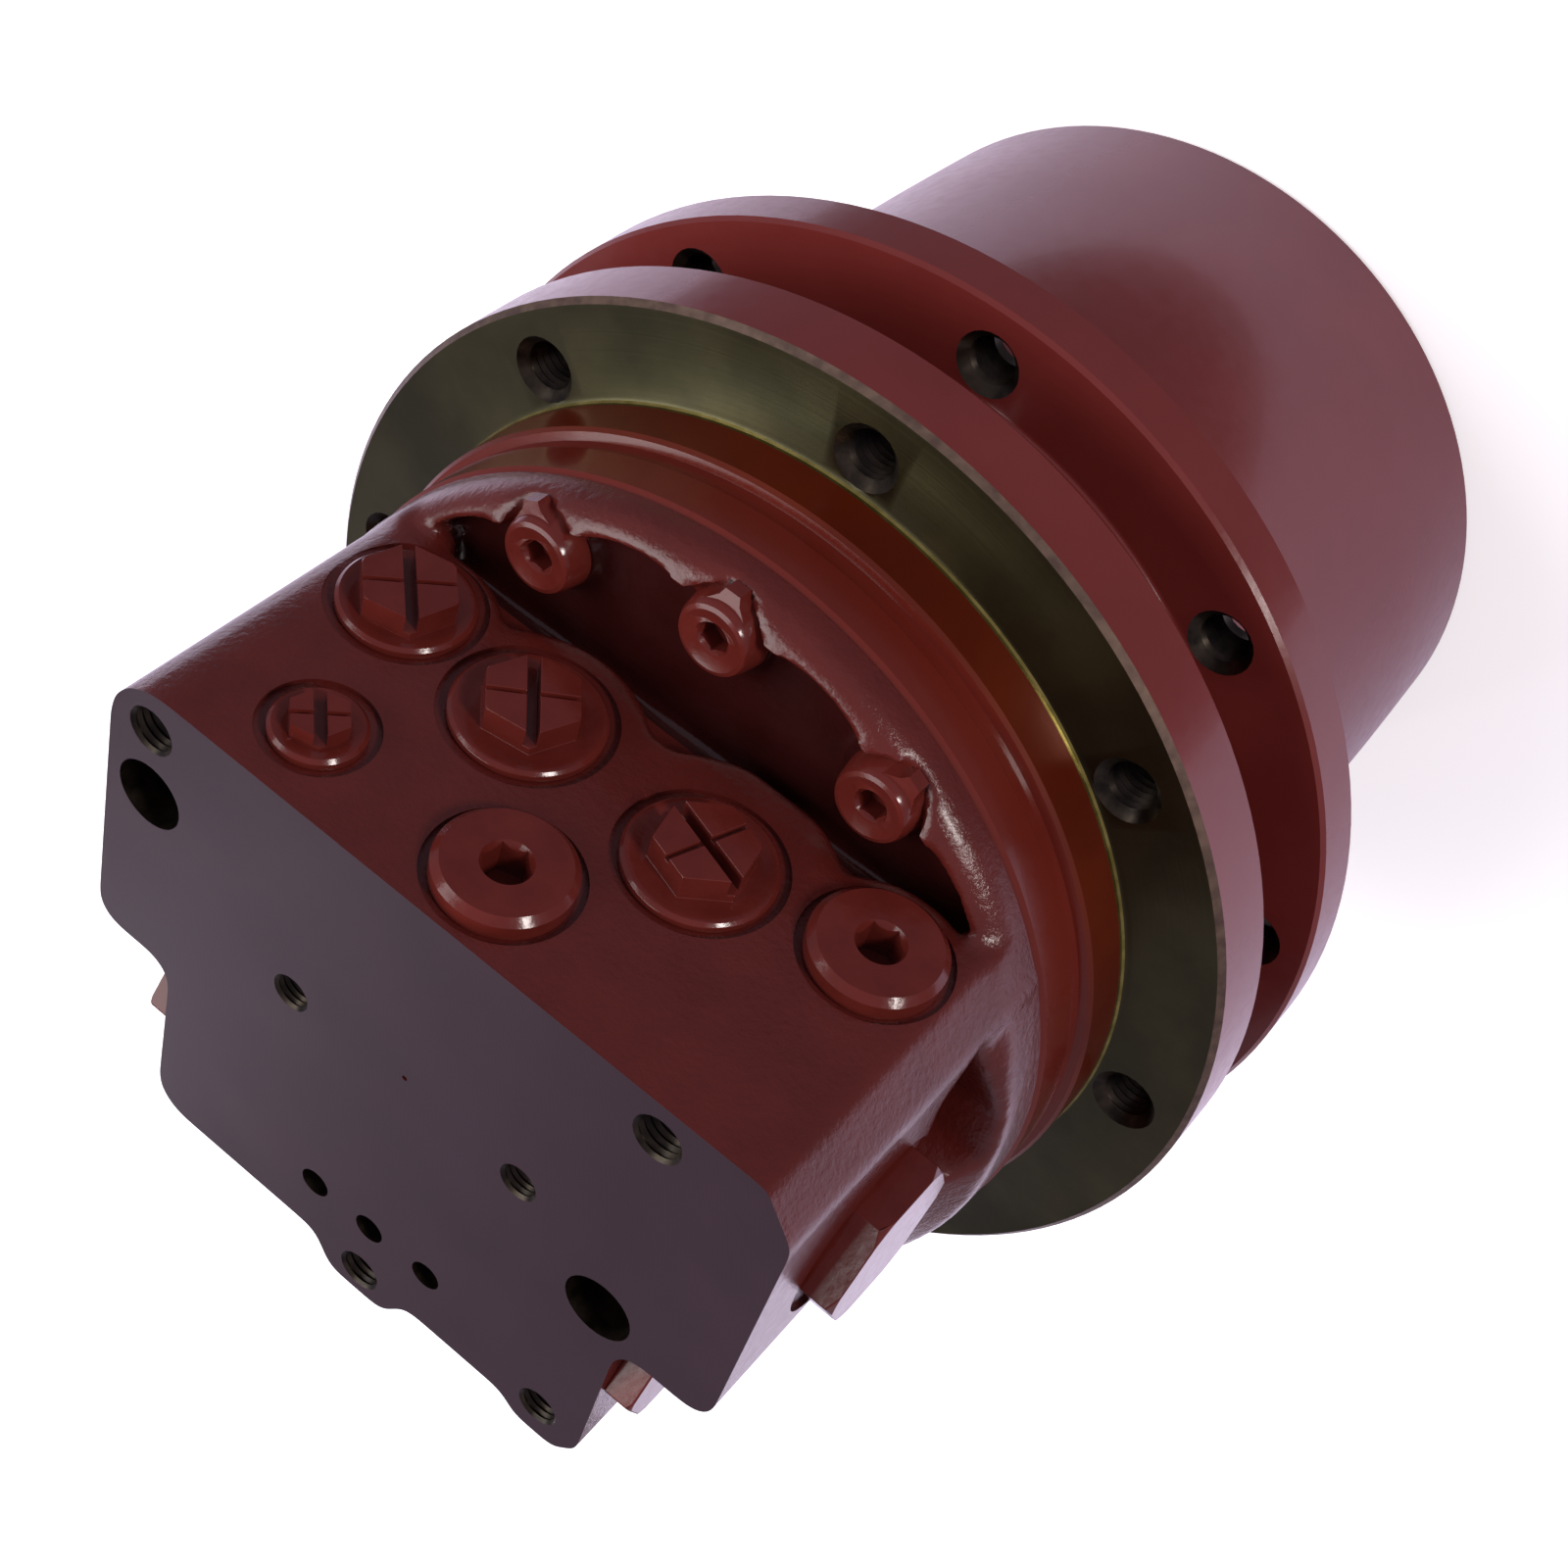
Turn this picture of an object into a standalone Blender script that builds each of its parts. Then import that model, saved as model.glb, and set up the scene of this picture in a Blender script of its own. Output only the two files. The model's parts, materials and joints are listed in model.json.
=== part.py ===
"""Track final drive: axial piston motor, two planetary stages and a turning sprocket hub.

Z is the shaft's axis. Z = 0 is the drum's end and the port face is at the top.
X runs along the plug face, and Y is the plug face's normal.
"""

import math

import bmesh
import bpy
from mathutils import Matrix, Vector

# Facets round large, middling and small pieces
LARGE = 32
MIDDLE = 24
SMALL = 12

# Sizes in metres
CLEAR = 0.0003
CHAMFER = 0.001

# Motor, inside out
SHAFT_R = 0.014
PISTONS = 7
PISTON_R = 0.007
PISTON_CIRCLE_R = 0.027
BARREL_WALL = 0.006
BARREL_H = 0.042
PISTON_OUT = 0.0155
SWASH_T = 0.0116
SWASH_RIM = 0.004
SWASH_ANGLE = 12.0
VALVE_PLATE_T = 0.0037
BRAKE_SECTION = 0.015
BRAKE_DISC_T = 0.0026
BRAKE_PISTON_T = 0.0186
BRAKE_TRAVEL = 0.0015
BRAKE_SPRING_ROOM = 0.0045
CASE_ROOM = 0.006
CASE_WALL = 0.010
SEAL_W = 0.0062
SHAFT_BEARING_W = 0.0117
SHAFT_BEARING_SECTION = 0.0117
REAR_BEARING_SECTION = 0.006
REAR_BEARING_W = 0.0110

# Gears
RING_TEETH = 60
SUN_1_TEETH = 12
SUN_2_TEETH = 18
PRESSURE = 25.0
BACKLASH = 0.0003
TIP_DEPTH = 0.95
ROOT_DEPTH = 1.25
RING_WALL = 0.010375
STAGE_1_FACE = 0.015
STAGE_2_FACE = 0.018
CARRIER_1_T = 0.007
CARRIER_2_T = 0.0097
PIN_1_R = 0.008
PIN_2_R = 0.010
STEM_R = 0.009
SPLINES = 6
SPLINE_DEPTH = 0.002

# Hub and bearings
BEARING_SECTION = 0.018
BEARING_W = 0.0157
BALL_R = 0.0046
BALLS = 10
HUB_SHOULDER_T = 0.0114
HUB_SHOULDER_DEPTH = 0.005
HUB_WALL = 0.0105
DRUM_TAPER = 0.0012
DRUM_TAPER_H = 0.035
SPROCKET_RIM = 0.0242
SPROCKET_T = 0.013
SPROCKET_BOLTS = 9
SPROCKET_BOLT_OUT = 0.0115
NECK_WALL = 0.012
NECK_H = 0.019
LIP_T = 0.0032
RETAINER_T = 0.0025
RETAINER_DEPTH = 0.003
COVER_T = 0.0064
COVER_ROOM = 0.006
COVER_PLUG_R = 0.050
NUT_T = 0.0074
SPINDLE_FLOOR_T = 0.034

# Chassis flange, pilot and case neck
FLANGE_RIM = 0.021
FLANGE_T = 0.0173
FLANGE_GAP = 0.0037
CHASSIS_BOLTS = 8
CHASSIS_BOLT_OUT = 0.008
THREAD_R = 0.0051
COUNTERSINK_R = 0.00695
PILOT_STEP = 0.0025
PILOT_H = 0.010
CASE_NECK_H = 0.026

# Port block
SCREW_IN = 0.0215
SCREW_OUT = 0.011
SCREW_R = 0.005
SCREW_L = 0.022
SCREW_HEAD_R = 0.0078
SCREW_HEAD_H = 0.0055
SCREW_POCKET_R = 0.0090
SCREW_ANGLES = (60, 90, 120, -28, 208, -70, 250)
BLOCK_H = 0.0767
BLOCK_FLANGE_T = 0.0057
RIM_H = 0.0045
RIM_W = 0.0045
CONE_H = 0.0115
CONE_IN = 0.0085
PLUG_FACE = 0.053
SHELF = 0.009
LEFT = -0.0765
RIGHT = 0.078
WIDE_BOTTOM = -0.0185
NARROW = 0.057
BOTTOM = -0.063
SPOOL_R = 0.0080
SPOOL_Y = 0.008
SPOOL_DROP = 0.036
SPOOL_TRAVEL = 0.004
CAP_FLATS = 0.032
CAP_OUT = 0.0065
CAP_THREAD_R = 0.0110
CAP_THREAD_L = 0.016
CAP_ROOM = 0.001
CAP_SPOT = 0.62
POCKET_DEPTH = 0.007
POCKET_REACH = 0.034
POCKET_H = 0.01116
SIDE_PLUG_Y = -0.038
SIDE_PLUG_DROP = 0.015
SIDE_PLUG_FLATS = 0.023
SIDE_PLUG_OUT = 0.006
PLUG_DEPTH = 0.016
SPOT_DEPTH = 0.0012

# Plug name: x, drop below the port face, spotface radius, flange radius, across flats, head height
HEX_PLUGS = {
    "port_plug_1": (-0.054, 0.050, 0.0155, 0.0130, 0.019, 0.008),
    "port_plug_2": (-0.021, 0.0465, 0.0170, 0.0145, 0.019, 0.009),
    "port_plug_3": (0.0214, 0.044, 0.0165, 0.0145, 0.019, 0.009),
    "check_plug": (-0.0433, 0.016, 0.0113, 0.0085, 0.012, 0.005),
}
SOCKET_PLUGS = {
    "socket_plug_1": (0.0, 0.016, 0.01475, 0.0128, 0.010, 0.0045),
    "socket_plug_2": (0.055, 0.0515, 0.01475, 0.0128, 0.010, 0.0045),
}
# Holes in the port face: x, y, radius, depth
PORTS = (
    (-0.0659, 0.0265, 0.0075, 0.018),
    (0.0505, -0.0121, 0.0075, 0.018),
    (-0.0667, 0.0433, 0.0055, 0.013),
    (0.0495, 0.0442, 0.0055, 0.013),
    (-0.0278, 0.0043, 0.0043, 0.016),
    (0.0278, 0.0043, 0.0043, 0.016),
    (-0.0145, -0.0470, 0.0035, 0.018),
    (0.0, -0.0470, 0.0035, 0.018),
    (0.0148, -0.0465, 0.0035, 0.018),
    (0.0, -0.0636, 0.00465, 0.015),
    (0.0463, -0.0577, 0.00475, 0.015),
)

# Radii that follow
barrel_r = PISTON_CIRCLE_R + PISTON_R + BARREL_WALL
brake_r = barrel_r + BRAKE_SECTION
brake_bore_r = brake_r + 0.001
swash_r = barrel_r + SWASH_RIM
case_bore_r = swash_r + CASE_ROOM
spindle_r = case_bore_r + CASE_WALL
shoulder_r = spindle_r + BEARING_SECTION / 3
bearing_seat_r = spindle_r + BEARING_SECTION
race_in_r = spindle_r + CLEAR
race_out_r = bearing_seat_r - CLEAR
ball_circle_r = (spindle_r + bearing_seat_r) / 2
seal_bore_r = bearing_seat_r + 0.002
neck_r = seal_bore_r + NECK_WALL
drum_r = bearing_seat_r + HUB_WALL
sprocket_r = drum_r + SPROCKET_RIM
sprocket_bolt_r = drum_r + SPROCKET_BOLT_OUT
screw_circle_r = brake_bore_r + SCREW_IN
block_r = screw_circle_r + SCREW_OUT
pilot_r = block_r + PILOT_STEP
flange_r = pilot_r + FLANGE_RIM
chassis_bolt_r = pilot_r + CHASSIS_BOLT_OUT
module = (drum_r - RING_WALL) / (RING_TEETH / 2 + ROOT_DEPTH)
planet_1_teeth = (RING_TEETH - SUN_1_TEETH) // 2
planet_2_teeth = (RING_TEETH - SUN_2_TEETH) // 2
orbit_1_r = module * (SUN_1_TEETH + planet_1_teeth) / 2
orbit_2_r = module * (SUN_2_TEETH + planet_2_teeth) / 2
ring_tip_r = module * (RING_TEETH / 2 - TIP_DEPTH)
ring_root_r = module * (RING_TEETH / 2 + ROOT_DEPTH)
cover_bore_r = ring_root_r + 0.0019
carrier_1_r = orbit_1_r + PIN_1_R + 0.009
carrier_2_r = orbit_2_r + PIN_2_R + 0.0072
sun_2_bore_r = STEM_R + 0.002
spline_1_r = sun_2_bore_r + 0.008
spigot_r = orbit_2_r - PIN_2_R - 0.0085
nut_bore_r = spindle_r - 0.004
seal_seat_r = SHAFT_R + 0.0065
front_seat_r = SHAFT_R + SHAFT_BEARING_SECTION + CLEAR
rear_seat_r = SHAFT_R + REAR_BEARING_SECTION + CLEAR

# Heights that follow
z_groove = LIP_T
z_cover = z_groove + RETAINER_T + 2 * CLEAR
z_ring = z_cover + COVER_T + CLEAR
z_stage_1 = z_ring + COVER_ROOM
z_carrier_1 = z_stage_1 + STAGE_1_FACE + 0.002
z_stage_2 = z_carrier_1 + CARRIER_1_T + 0.003
z_ring_end = z_stage_2 + STAGE_2_FACE + 0.004
z_carrier_2 = z_stage_2 + STAGE_2_FACE + 0.002
z_spindle = z_carrier_2 + CARRIER_2_T + CLEAR
z_seat = z_spindle + NUT_T + 2 * CLEAR
z_shoulder_0 = z_seat + BEARING_W + 2 * CLEAR
z_shoulder_1 = z_shoulder_0 + HUB_SHOULDER_T
z_sprocket_1 = z_shoulder_1 + BEARING_W + 2 * CLEAR
z_sprocket_0 = z_sprocket_1 - SPROCKET_T
z_seal_cavity = z_sprocket_1 + 0.002
z_neck = z_sprocket_1 + NECK_H
z_flange_0 = z_neck + FLANGE_GAP
z_flange_1 = z_flange_0 + FLANGE_T
z_pilot = z_flange_1 + PILOT_H
z_joint = z_flange_1 + CASE_NECK_H
z_block = z_joint + CLEAR
z_floor = z_block + BLOCK_FLANGE_T
z_rim = z_floor + RIM_H
z_port = z_block + BLOCK_H
z_chamber = z_spindle + SPINDLE_FLOOR_T
z_seal = z_chamber - SHAFT_BEARING_W - 2 * CLEAR - SEAL_W - 0.001
z_hole = z_seal - 0.002
z_barrel_1 = z_block - VALVE_PLATE_T - 2 * CLEAR
z_barrel_0 = z_barrel_1 - BARREL_H
z_brake_piston_1 = z_joint - BRAKE_SPRING_ROOM - BRAKE_TRAVEL
z_brake_piston = z_brake_piston_1 - BRAKE_PISTON_T
z_brake_step = z_brake_piston - BRAKE_DISC_T - 0.0008
z_spool = z_port - SPOOL_DROP
z_screw_hole = z_floor + CLEAR - SCREW_L - 0.001
stem_end = z_chamber - 0.005

PLANETS = (90, 210, 330)


def material(name, colour, roughness, metallic):
    """A principled material with an sRGB colour."""
    made = bpy.data.materials.new(name)
    made.use_nodes = True
    shader = made.node_tree.nodes["Principled BSDF"]
    linear = [(int(colour[i : i + 2], 16) / 255) ** 2.2 for i in (0, 2, 4)]
    shader.inputs["Base Color"].default_value = (*linear, 1)
    shader.inputs["Roughness"].default_value = roughness
    shader.inputs["Metallic"].default_value = metallic
    made.diffuse_color = (*linear, 1)
    return made


def polar(radius, degrees, z=0.0):
    turn = math.radians(degrees)
    return Vector((radius * math.cos(turn), radius * math.sin(turn), z))


def circle(radius, steps, x=0.0, y=0.0):
    return [(x + p.x, y + p.y) for p in (polar(radius, 360 * i / steps) for i in range(steps))]


def spun(profile, steps=LARGE, tube=True):
    """Revolve (radius, height) pairs about Z. A tube's profile closes on itself."""
    bm = bmesh.new()
    verts = [bm.verts.new((r, 0, z)) for r, z in profile]
    pairs = list(zip(verts, verts[1:]))
    if tube:
        pairs.append((verts[-1], verts[0]))
    for a, b in pairs:
        bm.edges.new((a, b))
    bmesh.ops.spin(
        bm, geom=bm.verts[:] + bm.edges[:], cent=(0, 0, 0), axis=(0, 0, 1),
        angle=2 * math.pi, steps=steps, use_merge=True,
    )
    if not tube:
        rims = [e for e in bm.edges if e.is_boundary]
        bmesh.ops.holes_fill(bm, edges=rims, sides=0)
    bmesh.ops.recalc_face_normals(bm, faces=bm.faces)
    return bm


def plate(loops, low, high):
    """Extrude an outline, the first loop, with its holes, from low to high."""
    bm = bmesh.new()
    for loop in loops:
        verts = [bm.verts.new((x, y, low)) for x, y in loop]
        for a, b in zip(verts, verts[1:] + verts[:1]):
            bm.edges.new((a, b))
    if len(loops) == 1:
        bm.faces.new(bm.verts[:])
    else:
        bmesh.ops.triangle_fill(bm, use_beauty=True, use_dissolve=False, edges=bm.edges[:])
    raised = bmesh.ops.extrude_face_region(bm, geom=bm.faces[:])["geom"]
    moved = [v for v in raised if isinstance(v, bmesh.types.BMVert)]
    bmesh.ops.translate(bm, vec=(0, 0, high - low), verts=moved)
    bmesh.ops.recalc_face_normals(bm, faces=bm.faces)
    return bm


def loft(rings):
    """Skin closed rings of equal counts and cap both ends."""
    bm = bmesh.new()
    loops = [[bm.verts.new(p) for p in ring] for ring in rings]
    for low, high in zip(loops, loops[1:]):
        for i in range(len(low)):
            j = (i + 1) % len(low)
            bm.faces.new((low[i], low[j], high[j], high[i]))
    bm.faces.new(loops[0][::-1])
    bm.faces.new(loops[-1])
    bmesh.ops.recalc_face_normals(bm, faces=bm.faces)
    return bm


def moved(bm, matrix):
    bmesh.ops.transform(bm, matrix=matrix, verts=bm.verts)
    return bm


def at(x, y, z, axis=(0, 0, 1)):
    """Place a shape made along Z at a point, turned to an axis."""
    turn = Vector((0, 0, 1)).rotation_difference(Vector(axis)).to_matrix().to_4x4()
    return Matrix.Translation((x, y, z)) @ turn


def around(radius, steps):
    """The corner radius of a faceted bore that clears a round piece of this radius."""
    return radius / math.cos(math.pi / steps)


def rod(radius, low, high, steps=SMALL):
    return spun([(radius, low), (radius, high)], steps, tube=False)


def joined(shapes):
    """Gather shapes that don't touch into one."""
    whole = bmesh.new()
    for bm in shapes:
        mesh = bpy.data.meshes.new("gathered")
        bm.to_mesh(mesh)
        bm.free()
        whole.from_mesh(mesh)
        bpy.data.meshes.remove(mesh)
    return whole


def make(name, bm, surface, place=None, smooth=35):
    """Turn a shape into a named object."""
    mesh = bpy.data.meshes.new(name)
    bm.to_mesh(mesh)
    bm.free()
    mesh.materials.append(surface)
    mesh.shade_smooth()
    mesh.set_sharp_from_angle(angle=math.radians(smooth))
    made = bpy.data.objects.new(name, mesh)
    bpy.context.scene.collection.objects.link(made)
    if place:
        made.matrix_world = place
    return made


def copy_of(other, name, place):
    made = bpy.data.objects.new(name, other.data)
    bpy.context.scene.collection.objects.link(made)
    made.matrix_world = place
    return made


def combine(target, operation, *shapes):
    """Join shapes to the target, or cut them from it, with one Boolean."""
    bm = joined(shapes)
    mesh = bpy.data.meshes.new(target.name + "_tool")
    bm.to_mesh(mesh)
    bm.free()
    tool = bpy.data.objects.new(mesh.name, mesh)
    bpy.context.scene.collection.objects.link(tool)
    tool.hide_render = True
    tool.display_type = "WIRE"
    boolean = target.modifiers.new(operation.lower(), "BOOLEAN")
    boolean.operation = operation
    boolean.object = tool


def cut(target, *shapes):
    combine(target, "DIFFERENCE", *shapes)


def gear_outline(teeth, tip, root, play, phase=0.0, flank=2):
    """Involute gear outline. Tip and root count modules from the pitch circle."""
    pitch_r = module * teeth / 2
    base_r = pitch_r * math.cos(math.radians(PRESSURE))
    half = (math.pi * module / 2 - play) / 2 / pitch_r
    tip_r = pitch_r + tip * module
    root_r = pitch_r - root * module

    def half_angle(r):
        turn = math.acos(min(1, base_r / max(r, base_r)))
        start = math.radians(PRESSURE)
        return half + (math.tan(start) - start) - (math.tan(turn) - turn)

    radii = [root_r + (tip_r - root_r) * i / (flank - 1) for i in range(flank)]
    points = []
    for tooth in range(teeth):
        middle = math.radians(phase) + 2 * math.pi * tooth / teeth
        sides = [(r, middle - half_angle(r)) for r in radii]
        sides += [(r, middle + half_angle(r)) for r in reversed(radii)]
        points += [(r * math.cos(a), r * math.sin(a)) for r, a in sides]
    return points


def splined(radius, grow=0.0):
    """A straight splined outline. Grow opens the socket around the shaft."""
    points = []
    for i in range(SPLINES):
        middle = 360 / SPLINES * i
        wide = 360 / SPLINES / 4 + math.degrees(grow / radius)
        low = radius - SPLINE_DEPTH + grow
        for r, turn in ((low, -wide), (radius + grow, -wide), (radius + grow, wide), (low, wide)):
            p = polar(r, middle + turn)
            points.append((p.x, p.y))
    return points


def faceted(flats, steps, sides=6):
    """Radius of a regular polygon at each of the steps round it."""
    radii = []
    for i in range(steps):
        off = (360 * i / steps) % (360 / sides) - 180 / sides
        radii.append(flats / 2 / math.cos(math.radians(180 / sides - abs(off))))
    return radii


def ring_at(radii, heights, turn=0.0):
    """A ring of points with its own radius and height at each step."""
    steps = len(radii)
    return [polar(radii[i], 360 * i / steps + turn, heights[i]) for i in range(steps)]


def flat_ring(radii, z):
    return ring_at(radii, [z] * len(radii))


def round_corners(corners, steps=3):
    """A polygon with an arc at each (x, y, radius) corner, anticlockwise."""
    points = []
    for i, (x, y, radius) in enumerate(corners):
        here = Vector((x, y))
        back = (Vector(corners[i - 1][:2]) - here).normalized()
        ahead = (Vector(corners[(i + 1) % len(corners)][:2]) - here).normalized()
        spread = back.angle(ahead)
        middle = here + (back + ahead).normalized() * (radius / math.sin(spread / 2))
        reach = radius / math.tan(spread / 2)
        start = here + back * reach - middle
        end = here + ahead * reach - middle
        swing = start.angle_signed(end)
        for k in range(steps + 1):
            p = middle + Matrix.Rotation(-swing * k / steps, 2) @ start
            points.append((p.x, p.y))
    return points


def inset(points, distance):
    """Move an anticlockwise outline inwards."""
    moved_in = []
    for i, p in enumerate(points):
        before = (Vector(p) - Vector(points[i - 1])).normalized()
        after = (Vector(points[(i + 1) % len(points)]) - Vector(p)).normalized()
        middle = (before + after).normalized()
        inward = Vector((-middle.y, middle.x)) / max(0.5, middle.dot(after))
        moved_in.append(tuple(Vector(p) + inward * distance))
    return moved_in


for old in list(bpy.data.objects):
    bpy.data.objects.remove(old)

paint = material("maroon_paint", "6b2a28", 0.32, 0.0)
pilot_paint = material("case_paint", "5b3a22", 0.4, 0.2)
steel = material("ground_steel", "9a9a98", 0.3, 1.0)
gear_steel = material("gear_steel", "7d7a74", 0.38, 1.0)
bronze = material("bronze", "a87b46", 0.4, 1.0)
rubber = material("seal_rubber", "151515", 0.7, 0.0)
black = material("blackened_steel", "2b2a2a", 0.45, 0.8)

# Motor case: spindle, chassis flange, pilot and stepped neck in one casting
z_fixed_seal = z_flange_0 + 0.003
case = make(
    "motor_case",
    spun([
        (nut_bore_r, z_spindle),
        (nut_bore_r, z_seat),
        (spindle_r, z_seat),
        (spindle_r, z_sprocket_1),
        (shoulder_r, z_sprocket_1),
        (shoulder_r, z_fixed_seal),
        (bearing_seat_r - 0.001, z_fixed_seal),
        (bearing_seat_r - 0.001, z_flange_0),
        (flange_r, z_flange_0),
        (flange_r, z_flange_1 - CHAMFER),
        (flange_r - CHAMFER, z_flange_1),
        (pilot_r, z_flange_1),
        (pilot_r, z_pilot - CHAMFER),
        (pilot_r - 0.0015, z_pilot + CHAMFER),
        (pilot_r - 0.0015, z_pilot + 0.004),
        (block_r, z_pilot + 0.006),
        (block_r, z_joint),
        (brake_bore_r, z_joint),
        (brake_bore_r, z_brake_step),
        (case_bore_r, z_brake_step),
        (case_bore_r, z_chamber),
        (front_seat_r, z_chamber),
        (front_seat_r, z_chamber - SHAFT_BEARING_W - 2 * CLEAR),
        (seal_seat_r, z_chamber - SHAFT_BEARING_W - 2 * CLEAR),
        (seal_seat_r, z_hole),
        (SHAFT_R + 0.002, z_hole),
        (SHAFT_R + 0.002, z_spindle),
    ]),
    paint,
)
spigot_h = NUT_T
cut(case, plate([splined(spigot_r, CLEAR)], z_spindle - 0.002, z_spindle + spigot_h + 2 * CLEAR))
holes = []
for i in range(CHASSIS_BOLTS):
    p = polar(chassis_bolt_r, 360 / CHASSIS_BOLTS * i)
    hole = spun([
        (THREAD_R, z_flange_0 - 0.002),
        (THREAD_R, z_flange_1 - COUNTERSINK_R + THREAD_R),
        (COUNTERSINK_R, z_flange_1),
        (COUNTERSINK_R, z_flange_1 + 0.002),
    ], SMALL, tube=False)
    holes.append(moved(hole, at(p.x, p.y, 0)))
for angle in SCREW_ANGLES:
    p = polar(screw_circle_r, angle)
    hole = rod(around(SCREW_R + CLEAR, 8), z_screw_hole, z_joint + 0.004, 8)
    holes.append(moved(hole, at(p.x, p.y, 0)))
cut(case, *holes)

# Port block: rounded outline rising from a round flange with a cone behind it
def block_outline(corner):
    return round_corners([
        (LEFT, WIDE_BOTTOM, 0.006),
        (-NARROW, WIDE_BOTTOM, 0.005),
        (-NARROW, BOTTOM, 0.009),
        (-0.0115, BOTTOM, 0.004),
        (-0.0062, BOTTOM - 0.0078, 0.004),
        (0.0062, BOTTOM - 0.0078, 0.004),
        (0.0115, BOTTOM, 0.004),
        (0.0385, BOTTOM, 0.004),
        (0.0430, BOTTOM - 0.0036, 0.003),
        (NARROW - 0.0055, BOTTOM - 0.0036, 0.003),
        (NARROW, BOTTOM + 0.002, 0.003),
        (NARROW, WIDE_BOTTOM, 0.005),
        (RIGHT, WIDE_BOTTOM, 0.005),
        (RIGHT, PLUG_FACE, corner),
        (LEFT, PLUG_FACE, corner),
    ])


def outline_at(points, z):
    return [(x, y, z) for x, y in points]


top = block_outline(0.012)
block = make(
    "port_block",
    loft([
        outline_at(block_outline(0.018), z_block),
        outline_at(top, z_port - CHAMFER),
        outline_at(inset(top, CHAMFER), z_port),
    ]),
    paint,
)
combine(block, "UNION", spun([
    (block_r, z_block),
    (block_r, z_rim),
    (block_r - CONE_IN, z_rim + CONE_H),
], LARGE, tube=False))


def half_disc(radius, chord_y, steps=14):
    """Outline of the disc's part beyond a chord."""
    start = math.degrees(math.asin(chord_y / radius))
    turns = [start + (180 - 2 * start) * i / steps for i in range(steps + 1)]
    return [(p.x, p.y) for p in (polar(radius, turn) for turn in turns)]


beyond = [(-0.12, PLUG_FACE), (0.12, PLUG_FACE), (0.12, 0.13), (-0.12, 0.13)]
cut(block, plate([beyond], z_rim, z_port + 0.01))
cut(block, plate([half_disc(block_r - RIM_W, PLUG_FACE - 0.0005)], z_floor, z_rim + 0.003))


def lobe(name, radius):
    """A shelf disc round a plug, cut in under the plug face."""
    x, drop = {**HEX_PLUGS, **SOCKET_PLUGS}[name][:2]
    return x, z_port - drop, radius


def shelf_profile():
    """Upper edge of the recess on the plug face, hollowed round the plugs, over the floor."""
    lobes = [lobe("port_plug_1", 0.0180), lobe("port_plug_2", 0.0230),
             lobe("port_plug_3", 0.0270), lobe("socket_plug_2", 0.0190)]
    low, high = -0.060, 0.064
    count = 30
    points = [(high, z_floor - 0.0004), (high, z_floor)]
    for i in range(count + 1):
        x = high + (low - high) * i / count
        under = [z - math.sqrt(r * r - (x - cx) ** 2) for cx, z, r in lobes if abs(x - cx) < r]
        edge = min(under, default=z_floor + 0.008)
        points.append((x, min(max(edge, z_floor + 0.0004), z_floor + 0.008)))
    return points[1:] + [(low, z_floor)]


# The recess runs a little under the plug face, with a lobe round each large plug
shelf = plate([shelf_profile()], -PLUG_FACE - 0.001, -PLUG_FACE + SHELF)
cut(block, moved(shelf, Matrix.Rotation(math.radians(90), 4, "X")))

# Cast hollow beside each spool cap, between the wall and the round flange's lip
cap_spot_r = CAP_FLATS * CAP_SPOT
z_pocket_1 = z_spool - cap_spot_r - CAP_ROOM
z_pocket_0 = z_pocket_1 - POCKET_H
hollow = round_corners([
    (SPOOL_Y + POCKET_REACH, z_pocket_0 + 0.0085, 0.0012),
    (SPOOL_Y + POCKET_REACH * 0.65, z_pocket_1 + 0.0053, 0.0030),
    (SPOOL_Y + 0.011, z_pocket_1, 0.0030),
    (SPOOL_Y - 0.018, z_pocket_1, 0.0020),
    (SPOOL_Y - 0.022, z_pocket_0 + 0.0050, 0.0030),
    (SPOOL_Y - 0.016, z_pocket_0, 0.0030),
    (SPOOL_Y + 0.006, z_pocket_0, 0.0060),
])
stand = Matrix.Rotation(math.radians(90), 4, "Z") @ Matrix.Rotation(math.radians(90), 4, "X")
tools = [moved(plate([hollow], low, high), stand) for low, high in (
    (RIGHT - POCKET_DEPTH, block_r + 0.002),
    (-block_r - 0.002, LEFT + POCKET_DEPTH),
)]
cut(block, *tools)

tools = []
for angle in SCREW_ANGLES:
    p = polar(screw_circle_r, angle)
    hole = rod(around(SCREW_R + CLEAR, 8), z_block - 0.004, z_floor + 0.003, 8)
    tools.append(moved(hole, at(p.x, p.y, 0)))
cut(block, *tools)
tools = []
for angle in SCREW_ANGLES:
    p = polar(screw_circle_r, angle)
    tools.append(moved(rod(SCREW_POCKET_R, z_floor, z_rim + CONE_H + 0.012, SMALL), at(p.x, p.y, 0)))
cut(block, *tools)
tools = [moved(rod(r, -depth, 0.003, SMALL), at(x, y, z_port)) for x, y, r, depth in PORTS]
cut(block, *tools)
tools = []
for x, drop, spot, flange, flats, head in [*HEX_PLUGS.values(), *SOCKET_PLUGS.values()]:
    thread = flange - 0.003
    tools.append(moved(spun([
        (thread + CLEAR, -PLUG_DEPTH - 0.002),
        (thread + CLEAR, -SPOT_DEPTH),
        (spot, -SPOT_DEPTH),
        (spot, 0.006),
    ], 16, tube=False), at(x, PLUG_FACE, z_port - drop, (0, 1, 0))))
cut(block, *tools)
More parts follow.
